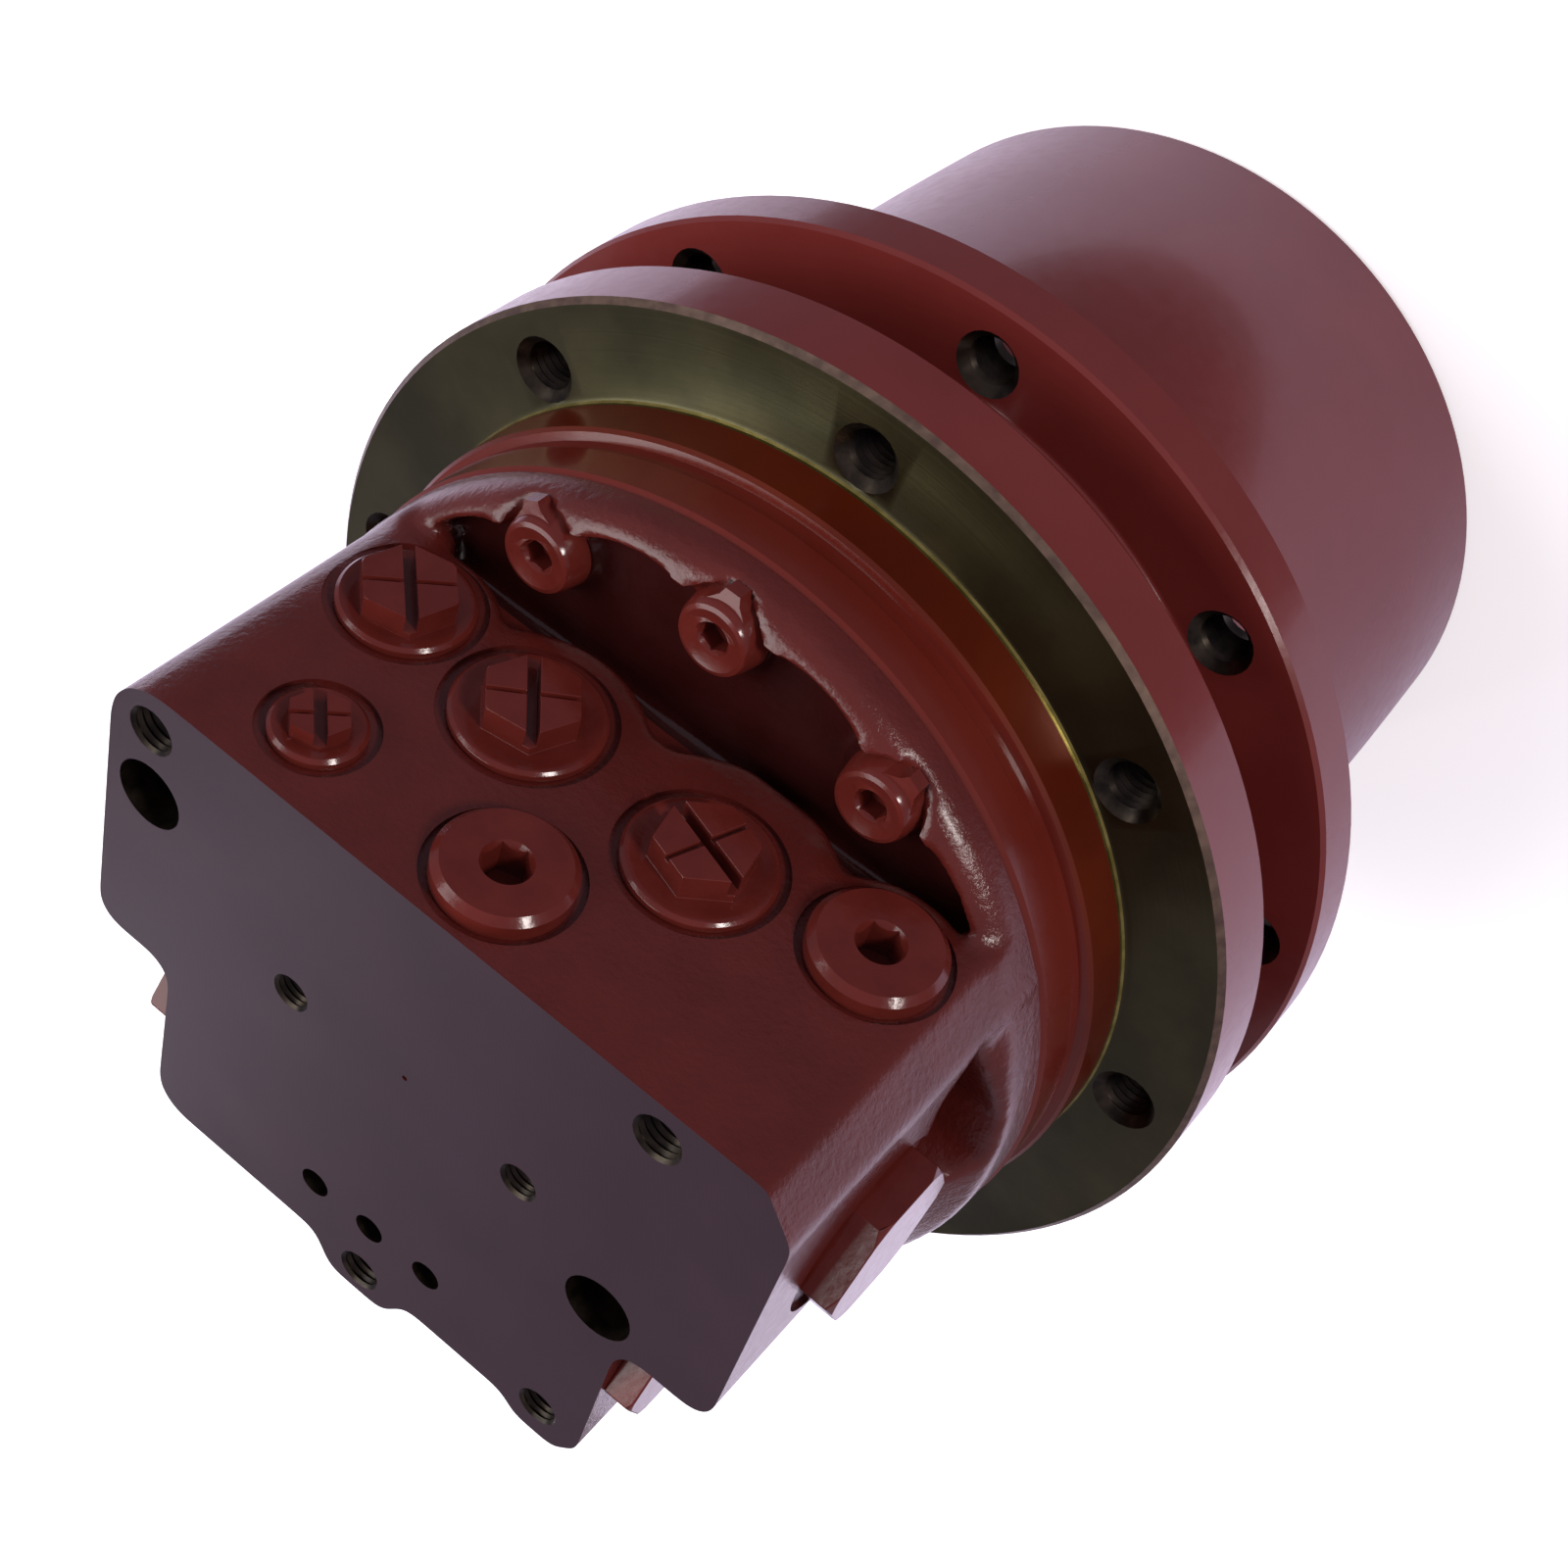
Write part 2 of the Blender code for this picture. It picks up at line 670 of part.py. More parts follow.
# Spool bore, its cap threads and spotfaces, and the side plugs' bores
tools = [moved(spun([
    (cap_spot_r, LEFT - CAP_OUT - CAP_ROOM),
    (cap_spot_r, LEFT + SPOT_DEPTH),
    (CAP_THREAD_R + CLEAR, LEFT + SPOT_DEPTH),
    (CAP_THREAD_R + CLEAR, LEFT + CAP_THREAD_L + SPOT_DEPTH + 0.002),
    (SPOOL_R, LEFT + CAP_THREAD_L + SPOT_DEPTH + 0.002),
    (SPOOL_R, RIGHT - CAP_THREAD_L - SPOT_DEPTH - 0.002),
    (CAP_THREAD_R + CLEAR, RIGHT - CAP_THREAD_L - SPOT_DEPTH - 0.002),
    (CAP_THREAD_R + CLEAR, RIGHT - SPOT_DEPTH),
    (cap_spot_r, RIGHT - SPOT_DEPTH),
    (cap_spot_r, RIGHT + CAP_OUT + CAP_ROOM),
], 16, tube=False), at(0, SPOOL_Y, z_spool, (1, 0, 0)))]
side_thread = SIDE_PLUG_FLATS / 2 - 0.003
for side in (-1, 1):
    tools.append(moved(spun([
        (side_thread + CLEAR, -PLUG_DEPTH),
        (side_thread + CLEAR, 0.004),
    ], SMALL, tube=False), at(side * NARROW, SIDE_PLUG_Y, z_port - SIDE_PLUG_DROP, (side, 0, 0))))
tools.append(rod(rear_seat_r, z_block - 0.004, z_block + REAR_BEARING_W + 0.006, MIDDLE))
cut(block, *tools)


def hex_plug(flats, flange, thread, depth, head, steps=18):
    """Threaded shank, round flange and chamfered hex head, seated at z = 0."""
    hexagon = faceted(flats, steps)
    bevel_r = flats / 2 * 1.02
    falls = [head - max(0, r - bevel_r) * 0.58 for r in hexagon]
    rings = [
        flat_ring([thread] * steps, -depth),
        flat_ring([thread] * steps, 0),
    ]
    if flange:
        rings += [
            flat_ring([flange] * steps, 0),
            flat_ring([flange] * steps, 0.0012),
            flat_ring([flats * 0.62] * steps, 0.0030),
            flat_ring(hexagon, 0.0034),
        ]
    else:
        rings.append(flat_ring(hexagon, 0))
    rings += [ring_at(hexagon, falls), flat_ring([min(r, bevel_r) for r in hexagon], head)]
    return loft(rings)


def socket_plug(flats, flange, thread, depth, head, steps=18):
    """Threaded shank and round head with a hex socket, seated at z = 0."""
    socket = faceted(flats, steps)
    return loft([
        flat_ring([thread] * steps, -depth),
        flat_ring([thread] * steps, 0),
        flat_ring([flange] * steps, 0),
        flat_ring([flange] * steps, head - CHAMFER),
        flat_ring([flange - CHAMFER] * steps, head),
        flat_ring([r + 0.0006 for r in socket], head),
        flat_ring(socket, head - 0.0006),
        flat_ring(socket, head - 0.008),
    ])


for name, (x, drop, spot, flange, flats, head) in HEX_PLUGS.items():
    seat = at(x, PLUG_FACE - SPOT_DEPTH + CLEAR, z_port - drop, (0, 1, 0))
    plug = make(name, hex_plug(flats, flange, flange - 0.003, PLUG_DEPTH, head), paint, seat)
    wide = flats * 0.12
    reach = flats
    arms = [(wide, -wide), (reach, -wide), (reach, wide), (wide, wide), (wide, reach),
            (-wide, reach), (-wide, wide), (-reach, wide), (-reach, -wide), (-wide, -wide),
            (-wide, -reach), (wide, -reach)]
    cut(plug, moved(plate([arms], head * 0.62, head + 0.002), seat))
for name, (x, drop, spot, flange, flats, head) in SOCKET_PLUGS.items():
    seat = at(x, PLUG_FACE - SPOT_DEPTH + CLEAR, z_port - drop, (0, 1, 0))
    make(name, socket_plug(flats, flange, flange - 0.003, PLUG_DEPTH, head), paint, seat)
for name, side, wall in (("left", -1, LEFT), ("right", 1, RIGHT)):
    seat = at(wall - side * (SPOT_DEPTH - CLEAR), SPOOL_Y, z_spool, (side, 0, 0))
    shape = hex_plug(CAP_FLATS, 0, CAP_THREAD_R, CAP_THREAD_L, CAP_OUT + SPOT_DEPTH)
    make("spool_cap_" + name, shape, paint, seat)
    seat = at(side * (NARROW + CLEAR), SIDE_PLUG_Y, z_port - SIDE_PLUG_DROP, (side, 0, 0))
    shape = hex_plug(SIDE_PLUG_FLATS, 0, side_thread, PLUG_DEPTH - 0.003, SIDE_PLUG_OUT)
    make("side_plug_" + name, shape, paint, seat)

# Cap screws that hold the block to the case
socket = faceted(SCREW_HEAD_R * 1.05, 12)
head_r = SCREW_HEAD_R
screw_shape = loft([
    flat_ring([SCREW_R] * 12, -SCREW_L),
    flat_ring([SCREW_R] * 12, 0),
    flat_ring([head_r] * 12, 0),
    flat_ring([head_r] * 12, SCREW_HEAD_H - 0.0008),
    flat_ring([head_r - 0.0008] * 12, SCREW_HEAD_H),
    flat_ring(socket, SCREW_HEAD_H),
    flat_ring(socket, SCREW_HEAD_H - 0.004),
])
for i, angle in enumerate(SCREW_ANGLES):
    p = polar(screw_circle_r, angle)
    place = at(p.x, p.y, z_floor + CLEAR)
    if i == 0:
        screw = make("block_screw_1", screw_shape, paint, place)
    else:
        copy_of(screw, f"block_screw_{i + 1}", place)

# Hub housing: drum, sprocket flange and neck, with the ring gear cut inside
hub = make(
    "hub_housing",
    spun([
        (cover_bore_r, 0),
        (drum_r - DRUM_TAPER - CHAMFER, 0),
        (drum_r - DRUM_TAPER, CHAMFER),
        (drum_r, DRUM_TAPER_H),
        (drum_r, z_sprocket_0 - 0.003),
        (drum_r + 0.003, z_sprocket_0),
        (sprocket_r, z_sprocket_0),
        (sprocket_r, z_sprocket_1 - CHAMFER),
        (sprocket_r - CHAMFER, z_sprocket_1),
        (neck_r, z_sprocket_1),
        (neck_r, z_neck),
        (seal_bore_r, z_neck),
        (seal_bore_r, z_seal_cavity),
        (bearing_seat_r, z_seal_cavity),
        (bearing_seat_r, z_shoulder_1),
        (bearing_seat_r - HUB_SHOULDER_DEPTH, z_shoulder_1),
        (bearing_seat_r - HUB_SHOULDER_DEPTH, z_shoulder_0),
        (bearing_seat_r, z_shoulder_0),
        (bearing_seat_r, z_seat),
        (ring_root_r + 0.0009, z_seat - 0.001),
        (ring_root_r + 0.0009, z_ring_end),
        (ring_tip_r - 0.003, z_ring_end),
        (ring_tip_r - 0.003, z_ring),
        (cover_bore_r, z_ring),
        (cover_bore_r, z_cover),
        (cover_bore_r + RETAINER_DEPTH, z_cover),
        (cover_bore_r + RETAINER_DEPTH, z_groove),
        (cover_bore_r, z_groove),
    ]),
    paint,
)
teeth = gear_outline(RING_TEETH, ROOT_DEPTH, TIP_DEPTH, -BACKLASH)
cut(hub, plate([teeth], z_ring - 0.002, z_ring_end + 0.002))
tools = []
for i in range(SPROCKET_BOLTS):
    p = polar(sprocket_bolt_r, 90 + 360 / SPROCKET_BOLTS * i)
    hole = spun([
        (THREAD_R, z_sprocket_0 - 0.002),
        (THREAD_R, z_sprocket_1 - COUNTERSINK_R + THREAD_R),
        (COUNTERSINK_R, z_sprocket_1),
        (COUNTERSINK_R, z_sprocket_1 + 0.002),
    ], SMALL, tube=False)
    tools.append(moved(hole, at(p.x, p.y, 0)))
cut(hub, *tools)

# End cover with its retaining ring, seal and two plugs
cover = make(
    "end_cover",
    spun([
        (0.030, z_cover + 0.0012),
        (0.034, z_cover),
        (cover_bore_r - CLEAR, z_cover),
        (cover_bore_r - CLEAR, z_cover + 0.0020),
        (cover_bore_r - 0.0026, z_cover + 0.0020),
        (cover_bore_r - 0.0026, z_cover + 0.0050),
        (cover_bore_r - CLEAR, z_cover + 0.0050),
        (cover_bore_r - CLEAR, z_cover + COVER_T),
        (0.008, z_cover + COVER_T),
        (0.008, z_stage_1 - CLEAR),
    ], LARGE, tube=False),
    paint,
)
plug_thread = 0.0075
cut(cover, *[
    moved(rod(plug_thread + CLEAR, z_cover - 0.002, z_cover + COVER_T + 0.002),
          at(COVER_PLUG_R * side, 0, 0))
    for side in (-1, 1)
])
plug_head = z_cover - CLEAR - 0.0015
plug_shape = hex_plug(0.017, 0, plug_thread, COVER_T + 0.0006, plug_head, SMALL)
for name, side in (("fill_plug", 1), ("drain_plug", -1)):
    place = at(COVER_PLUG_R * side, 0, z_cover - CLEAR, (0, 0, -1))
    if side == 1:
        fill = make(name, plug_shape, black, place)
    else:
        copy_of(fill, name, place)
seal_z = z_cover + 0.0020
make("cover_seal", spun([
    (cover_bore_r - 0.0023, seal_z + CLEAR),
    (cover_bore_r - CLEAR, seal_z + CLEAR),
    (cover_bore_r - CLEAR, seal_z + 0.0027),
    (cover_bore_r - 0.0023, seal_z + 0.0027),
], LARGE), rubber)


def ring_segment(inner, outer, low, high, opening, steps=28):
    """A flat ring open at one side."""
    turns = [opening + (360 - 2 * opening) * i / steps for i in range(steps + 1)]
    loop = [polar(outer, turn) for turn in turns] + [polar(inner, turn) for turn in reversed(turns)]
    return plate([[(p.x, p.y) for p in loop]], low, high)


make("retaining_ring", ring_segment(
    cover_bore_r - 0.003, cover_bore_r + RETAINER_DEPTH - 0.0005,
    z_groove + CLEAR, z_groove + CLEAR + RETAINER_T, 6,
), black)

# First stage: sun on a long stem, three planets, carrier driving the second sun
phase_1 = PLANETS[0] + 180 / SUN_1_TEETH
sun_1 = gear_outline(SUN_1_TEETH, TIP_DEPTH, ROOT_DEPTH, BACKLASH, phase_1, flank=3)
sun_1_top = z_stage_1 + STAGE_1_FACE
gear = make("sun_gear_1", plate([sun_1], z_stage_1, sun_1_top), gear_steel)
combine(gear, "UNION", rod(STEM_R, sun_1_top - 0.002, stem_end, 16))
planet_1 = gear_outline(planet_1_teeth, TIP_DEPTH, ROOT_DEPTH, BACKLASH)
planet_1_bore = circle(around(PIN_1_R + CLEAR, SMALL), SMALL)
carrier_loops = [circle(carrier_1_r, MIDDLE), splined(spline_1_r, CLEAR)]
for i, angle in enumerate(PLANETS):
    p = polar(orbit_1_r, angle)
    place = at(p.x, p.y, 0) @ Matrix.Rotation(math.radians(angle), 4, "Z")
    if i == 0:
        gear = make("planet_gear_1_1", plate([planet_1, planet_1_bore], z_stage_1, sun_1_top),
                    gear_steel, place)
        pin = make("planet_pin_1_1", rod(PIN_1_R, z_stage_1 - 0.002,
                   z_carrier_1 + CARRIER_1_T), steel, place)
    else:
        copy_of(gear, f"planet_gear_1_{i + 1}", place)
        copy_of(pin, f"planet_pin_1_{i + 1}", place)
    carrier_loops.append(circle(PIN_1_R + CLEAR, SMALL, p.x, p.y))
make("carrier_1", plate(carrier_loops, z_carrier_1, z_carrier_1 + CARRIER_1_T), gear_steel)

# Second stage: splined sun, planets on fixed pins, carrier held by the spindle
sun_2 = gear_outline(SUN_2_TEETH, TIP_DEPTH, ROOT_DEPTH, BACKLASH, PLANETS[0])
z_stage_2_top = z_stage_2 + STAGE_2_FACE
gear = make("sun_gear_2", plate([splined(spline_1_r)], z_carrier_1 + 0.001, z_stage_2 + 0.002),
            gear_steel)
combine(gear, "UNION", plate([sun_2], z_stage_2, z_stage_2_top))
cut(gear, rod(sun_2_bore_r, z_carrier_1 - 0.002, z_stage_2_top + 0.002, 16))
planet_2 = gear_outline(planet_2_teeth, TIP_DEPTH, ROOT_DEPTH, BACKLASH)
planet_2_bore = circle(around(PIN_2_R + CLEAR, SMALL), SMALL)
carrier_loops = [circle(carrier_2_r, MIDDLE), circle(STEM_R + 0.007, 16)]
for i, angle in enumerate(PLANETS):
    p = polar(orbit_2_r, angle)
    place = at(p.x, p.y, 0) @ Matrix.Rotation(math.radians(angle), 4, "Z")
    if i == 0:
        gear = make("planet_gear_2_1", plate([planet_2, planet_2_bore], z_stage_2, z_stage_2_top),
                    gear_steel, place)
        pin = make("planet_pin_2_1", rod(PIN_2_R, z_stage_2 - 0.0015,
                   z_carrier_2 + CARRIER_2_T), steel, place)
    else:
        copy_of(gear, f"planet_gear_2_{i + 1}", place)
        copy_of(pin, f"planet_pin_2_{i + 1}", place)
    carrier_loops.append(circle(PIN_2_R + CLEAR, SMALL, p.x, p.y))
carrier = make("carrier_2", plate(carrier_loops, z_carrier_2, z_carrier_2 + CARRIER_2_T), gear_steel)
combine(carrier, "UNION", plate(
    [splined(spigot_r), circle(STEM_R + 0.008, 16)],
    z_carrier_2 + CARRIER_2_T - 0.001, z_spindle + spigot_h,
))

# Main bearings: grooved races with caged balls between them
groove_r = BALL_R + 0.0006


def race(wall, flank, low, turn):
    """A race with a ball groove. Turn is 1 for the inner race and -1 for the outer one."""
    middle = low + BEARING_W / 2
    edge = abs(ball_circle_r - flank)
    span = math.degrees(math.acos(edge / groove_r))
    profile = [(flank, low + BEARING_W), (wall, low + BEARING_W), (wall, low), (flank, low)]
    for tilt in (-span, 0, span):
        lean = math.radians(tilt)
        profile.append((ball_circle_r - turn * groove_r * math.cos(lean),
                        middle + groove_r * math.sin(lean)))
    return spun(profile)


def ball_set(middle):
    """Balls joined by their cage: a ring whose section swells at each ball."""
    swell = (0.35, 0.35, 1.0, 1.0)
    slots = (0.0, 0.25, 0.54, 0.71)
    bm = bmesh.new()
    loops = []
    for ball in range(BALLS):
        for slot, size in zip(slots, swell):
            turn = 360 / BALLS * (ball + slot)
            section = BALL_R * size
            loops.append([
                bm.verts.new(polar(ball_circle_r + section * math.cos(a), turn,
                                   middle + section * math.sin(a)))
                for a in (math.pi / 3 * k for k in range(6))
            ])
    for low, high in zip(loops, loops[1:] + loops[:1]):
        for k in range(6):
            bm.faces.new((low[k], low[(k + 1) % 6], high[(k + 1) % 6], high[k]))
    bmesh.ops.recalc_face_normals(bm, faces=bm.faces)
    return bm


flank_in = ball_circle_r - BEARING_SECTION * 0.14
flank_out = ball_circle_r + BEARING_SECTION * 0.14
for name, low in (("lower", z_seat + CLEAR), ("upper", z_shoulder_1 + CLEAR)):
    make("bearing_inner_" + name, race(race_in_r, flank_in, low, 1), steel)
    make("bearing_outer_" + name, race(race_out_r, flank_out, low, -1), steel)
    make("ball_set_" + name, ball_set(low + BEARING_W / 2), bronze)
make("bearing_nut", spun([
    (nut_bore_r + CLEAR, z_spindle + 0.0006),
    (shoulder_r, z_spindle + 0.0006),
    (shoulder_r, z_seat - CLEAR),
    (nut_bore_r + CLEAR, z_seat - CLEAR),
], LARGE), black)

# Floating face seal between hub and flange
z_face = (z_seal_cavity + z_fixed_seal) / 2 - 0.003
make("seal_ring_rotating", spun([
    (shoulder_r + 0.001, z_face - CLEAR / 2),
    (shoulder_r + 0.001, z_face - 0.005),
    (seal_bore_r - CLEAR, z_seal_cavity + CLEAR),
    (seal_bore_r - CLEAR, z_face - CLEAR / 2),
], LARGE), steel)
make("seal_ring_fixed", spun([
    (shoulder_r + CLEAR, z_face + CLEAR / 2),
    (bearing_seat_r - 0.0033, z_face + CLEAR / 2),
    (bearing_seat_r - 0.0013, z_fixed_seal - CLEAR),
    (shoulder_r + CLEAR, z_fixed_seal - CLEAR),
], LARGE), steel)

# Motor: shaft, bearings, seal, swash plate, barrel with pistons, valve plate, brake
shaft_low = z_seal - 0.002
shaft = make("drive_shaft", spun([
    (STEM_R + CLEAR, shaft_low),
    (SHAFT_R, shaft_low),
    (SHAFT_R, z_block + REAR_BEARING_W),
    (SHAFT_R - CHAMFER, z_block + REAR_BEARING_W + CHAMFER),
    (STEM_R + CLEAR, z_block + REAR_BEARING_W + CHAMFER),
], 20), steel)
combine(shaft, "UNION", rod(STEM_R + 0.003, stem_end + CLEAR, z_block + REAR_BEARING_W, 20))
z_front = z_chamber - SHAFT_BEARING_W - CLEAR
make("front_shaft_bearing", spun([
    (SHAFT_R + CLEAR, z_front),
    (front_seat_r - CLEAR, z_front),
    (front_seat_r - CLEAR, z_chamber - CLEAR),
    (SHAFT_R + CLEAR, z_chamber - CLEAR),
], 20), steel)
make("shaft_seal", spun([
    (SHAFT_R + CLEAR, z_seal),
    (seal_seat_r - CLEAR, z_seal),
    (seal_seat_r - CLEAR, z_seal + SEAL_W),
    (SHAFT_R + CLEAR, z_seal + SEAL_W),
], 20), rubber)
make("rear_shaft_bearing", spun([
    (SHAFT_R + CLEAR, z_block + CLEAR),
    (rear_seat_r - CLEAR, z_block + CLEAR),
    (rear_seat_r - CLEAR, z_block + REAR_BEARING_W),
    (SHAFT_R + CLEAR, z_block + REAR_BEARING_W),
], 20), steel)

slope = math.tan(math.radians(SWASH_ANGLE))
swash_hole_r = SHAFT_R + 0.003


def swash_ring(radius, base, rise, steps=MIDDLE):
    """A ring of points on the flat base, or on the sloping face."""
    points = [polar(radius, 360 * i / steps) for i in range(steps)]
    return [Vector((p.x, p.y, base + rise * p.x)) for p in points]


z_swash = z_chamber + 0.0004
rings = [
    swash_ring(swash_hole_r, z_swash, 0), swash_ring(swash_r, z_swash, 0),
    swash_ring(swash_r, z_swash + SWASH_T, slope), swash_ring(swash_hole_r, z_swash + SWASH_T, slope),
]
bm = bmesh.new()
loops = [[bm.verts.new(p) for p in ring] for ring in rings]
for inner, outer in zip(loops, loops[1:] + loops[:1]):
    for i in range(MIDDLE):
        j = (i + 1) % MIDDLE
        bm.faces.new((inner[i], inner[j], outer[j], outer[i]))
bmesh.ops.recalc_face_normals(bm, faces=bm.faces)
make("swash_plate", bm, steel)

barrel = make("cylinder_block", spun([
    (SHAFT_R + CLEAR, z_barrel_0),
    (barrel_r - CHAMFER, z_barrel_0),
    (barrel_r, z_barrel_0 + CHAMFER),
    (barrel_r, z_barrel_1),
    (SHAFT_R + CLEAR, z_barrel_1),
], MIDDLE), steel)
pistons = []
for i in range(PISTONS):
    p = polar(PISTON_CIRCLE_R, 360 / PISTONS * i)
    pistons.append(moved(rod(PISTON_R, z_barrel_0 - PISTON_OUT, z_barrel_0 + 0.002, 8),
                         at(p.x, p.y, 0)))
combine(barrel, "UNION", *pistons)


def kidney(start, end, steps=6):
    """Outline of a curved port on the piston circle."""
    inner, outer = PISTON_CIRCLE_R - 0.0035, PISTON_CIRCLE_R + 0.0035
    turns = [start + (end - start) * i / steps for i in range(steps + 1)]
    loop = [polar(outer, turn) for turn in turns] + [polar(inner, turn) for turn in reversed(turns)]
    return [(p.x, p.y) for p in loop]


make("valve_plate", plate(
    [circle(barrel_r, MIDDLE), circle(SHAFT_R + 0.001, 16), kidney(20, 160), kidney(200, 340)],
    z_barrel_1 + CLEAR, z_barrel_1 + CLEAR + VALVE_PLATE_T,
), bronze)
make("brake_disc", plate(
    [circle(brake_r, MIDDLE), circle(barrel_r + CLEAR, MIDDLE)],
    z_brake_step + 0.0004, z_brake_step + 0.0004 + BRAKE_DISC_T,
), black)
make("brake_piston", spun([
    (barrel_r + 0.004, z_brake_piston),
    (brake_bore_r - CLEAR, z_brake_piston),
    (brake_bore_r - CLEAR, z_brake_piston_1),
    (barrel_r + 0.004, z_brake_piston_1),
], LARGE), steel)

# Spool with its lands and necks, sliding along X
half = RIGHT - CAP_THREAD_L - SPOT_DEPTH - 0.002 - SPOOL_TRAVEL
land, neck = SPOOL_R - CLEAR, SPOOL_R * 0.62
profile = [(land - CHAMFER, -half), (land, CHAMFER - half)]
for low, high in ((-0.55, -0.35), (-0.12, 0.12), (0.35, 0.55)):
    profile += [(land, low * half), (neck, low * half), (neck, high * half), (land, high * half)]
profile += [(land, half - CHAMFER), (land - CHAMFER, half)]
make("spool", spun(profile, 10, tube=False), steel, at(0, SPOOL_Y, z_spool, (1, 0, 0)))
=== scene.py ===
# %% [markdown]
# # A track final drive
#
# This drive turns one track of a small excavator. A hydraulic motor sits inside a planetary
# gearbox. The big flange bolts to the machine, and the drum with the thinner flange turns the
# sprocket. The whole unit was sprayed maroon after assembly, and only the machined flange face
# was masked. The CAD model gives each piece its place and size. This lesson gives it its looks.

# %% Load the model and measure it
import json
import math

import bpy
from mathutils import Matrix, Vector


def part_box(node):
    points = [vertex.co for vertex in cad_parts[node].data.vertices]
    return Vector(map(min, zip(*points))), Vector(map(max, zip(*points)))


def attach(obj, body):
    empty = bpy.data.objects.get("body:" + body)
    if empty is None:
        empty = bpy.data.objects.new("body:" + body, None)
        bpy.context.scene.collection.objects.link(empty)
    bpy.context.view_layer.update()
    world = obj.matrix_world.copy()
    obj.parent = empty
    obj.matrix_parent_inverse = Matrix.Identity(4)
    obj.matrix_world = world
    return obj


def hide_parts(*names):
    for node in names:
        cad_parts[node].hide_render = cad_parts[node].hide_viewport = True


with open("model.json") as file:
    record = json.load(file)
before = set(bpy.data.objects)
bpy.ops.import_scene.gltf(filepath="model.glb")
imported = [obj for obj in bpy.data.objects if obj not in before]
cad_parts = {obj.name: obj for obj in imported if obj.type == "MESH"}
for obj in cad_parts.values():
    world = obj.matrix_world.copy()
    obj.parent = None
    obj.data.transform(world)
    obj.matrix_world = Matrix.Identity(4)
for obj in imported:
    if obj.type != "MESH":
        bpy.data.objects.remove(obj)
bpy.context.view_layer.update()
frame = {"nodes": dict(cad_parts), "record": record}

# %% [markdown]
# ## Working like a modeller
#
# Every operator acts on what is selected, so each step starts from an empty selection. A line of
# points is drawn by merging a small plane to one vertex and extruding that vertex again and
# again. A line turned round the shaft's axis with Spin gives each turned piece. The same shapes
# could be typed in as lists of faces, but the operators keep the steps close to what a modeller
# does by hand, and they close the mesh by themselves.

# %% Selection and line helpers
def pick(*objects):
    """Select only these objects. The last one is active."""
    if bpy.context.mode != "OBJECT":
        bpy.ops.object.mode_set(mode="OBJECT")
    bpy.ops.object.select_all(action="DESELECT")
    for chosen in objects:
        chosen.select_set(True)
        bpy.context.view_layer.objects.active = chosen


def draw_line(name, points, closed=True):
    """Draw a line by extruding one vertex from point to point, and stay in edit mode."""
    pick()
    bpy.ops.mesh.primitive_plane_add(size=0.001, location=points[0])
    line = bpy.context.object
    line.name = name
    bpy.ops.object.mode_set(mode="EDIT")
    bpy.ops.mesh.merge(type="CENTER")
    route = points + points[:1] if closed else points
    for start, end in zip(route, route[1:]):
        step = Vector(end) - Vector(start)
        bpy.ops.mesh.extrude_region_move(TRANSFORM_OT_translate={"value": step})
    return line


def shade(piece, degrees):
    """Shade smooth, but keep every edge sharper than this crisp."""
    pick(piece)
    bpy.ops.object.shade_smooth_by_angle(angle=math.radians(degrees))


def settle(piece):
    """Merge doubles, point the faces outwards, put the origin at zero and shade smooth."""
    pick(piece)
    bpy.ops.object.mode_set(mode="EDIT")
    bpy.ops.mesh.select_all(action="SELECT")
    bpy.ops.mesh.remove_doubles(threshold=0.000005)
    bpy.ops.mesh.normals_make_consistent(inside=False)
    bpy.ops.object.mode_set(mode="OBJECT")
    bpy.ops.object.transform_apply(location=True, rotation=True, scale=True)
    shade(piece, 40)
    return piece


def turn_piece(name, profile, steps=96):
    """Spin a closed profile of (radius, height) pairs round the shaft's axis."""
    line = draw_line(name, [(r, 0, z) for r, z in profile])
    bpy.ops.mesh.select_all(action="SELECT")
    bpy.ops.mesh.spin(steps=steps, angle=2 * math.pi, center=(0, 0, 0), axis=(0, 0, 1))
    return settle(line)


def raise_piece(name, outline, low, high):
    """Fill a closed outline and extrude it from low to high."""
    line = draw_line(name, [(x, y, low) for x, y in outline], closed=False)
    bpy.ops.mesh.select_all(action="SELECT")
    bpy.ops.mesh.edge_face_add()
    bpy.ops.mesh.extrude_region_move(TRANSFORM_OT_translate={"value": (0, 0, high - low)})
    return settle(line)


# %% [markdown]
# ### Placing and cutting
#
# A shape is made along Z at the origin, where its numbers are easy to read, and then placed. The
# move goes into the mesh, and the object stays at the origin, as each CAD node's object does.
# Cutting and joining is done with the Boolean modifier. Its exact solver wants closed tools, and
# tools that overlap each other are used one after the other.

# %% Placing, copying and cutting helpers
def place(piece, matrix):
    """Move a piece's shape, and leave its object at the origin."""
    piece.matrix_world = matrix
    pick(piece)
    bpy.ops.object.transform_apply(location=True, rotation=True, scale=True)
    return piece


def twin(piece, name, matrix):
    """A copy of a piece with its own mesh, moved by a matrix."""
    pick(piece)
    bpy.ops.object.duplicate()
    copied = bpy.context.object
    copied.name = name
    return place(copied, matrix)


def turned(degrees, axis="Z"):
    return Matrix.Rotation(math.radians(degrees), 4, axis)


def facing(x, y, z, axis=(0, 0, 1), turn=0.0):
    """The place of a shape made along Z: at a point, along an axis, and turned about it."""
    tilt = Vector((0, 0, 1)).rotation_difference(Vector(axis)).to_matrix().to_4x4()
    return Matrix.Translation((x, y, z)) @ tilt @ turned(turn)


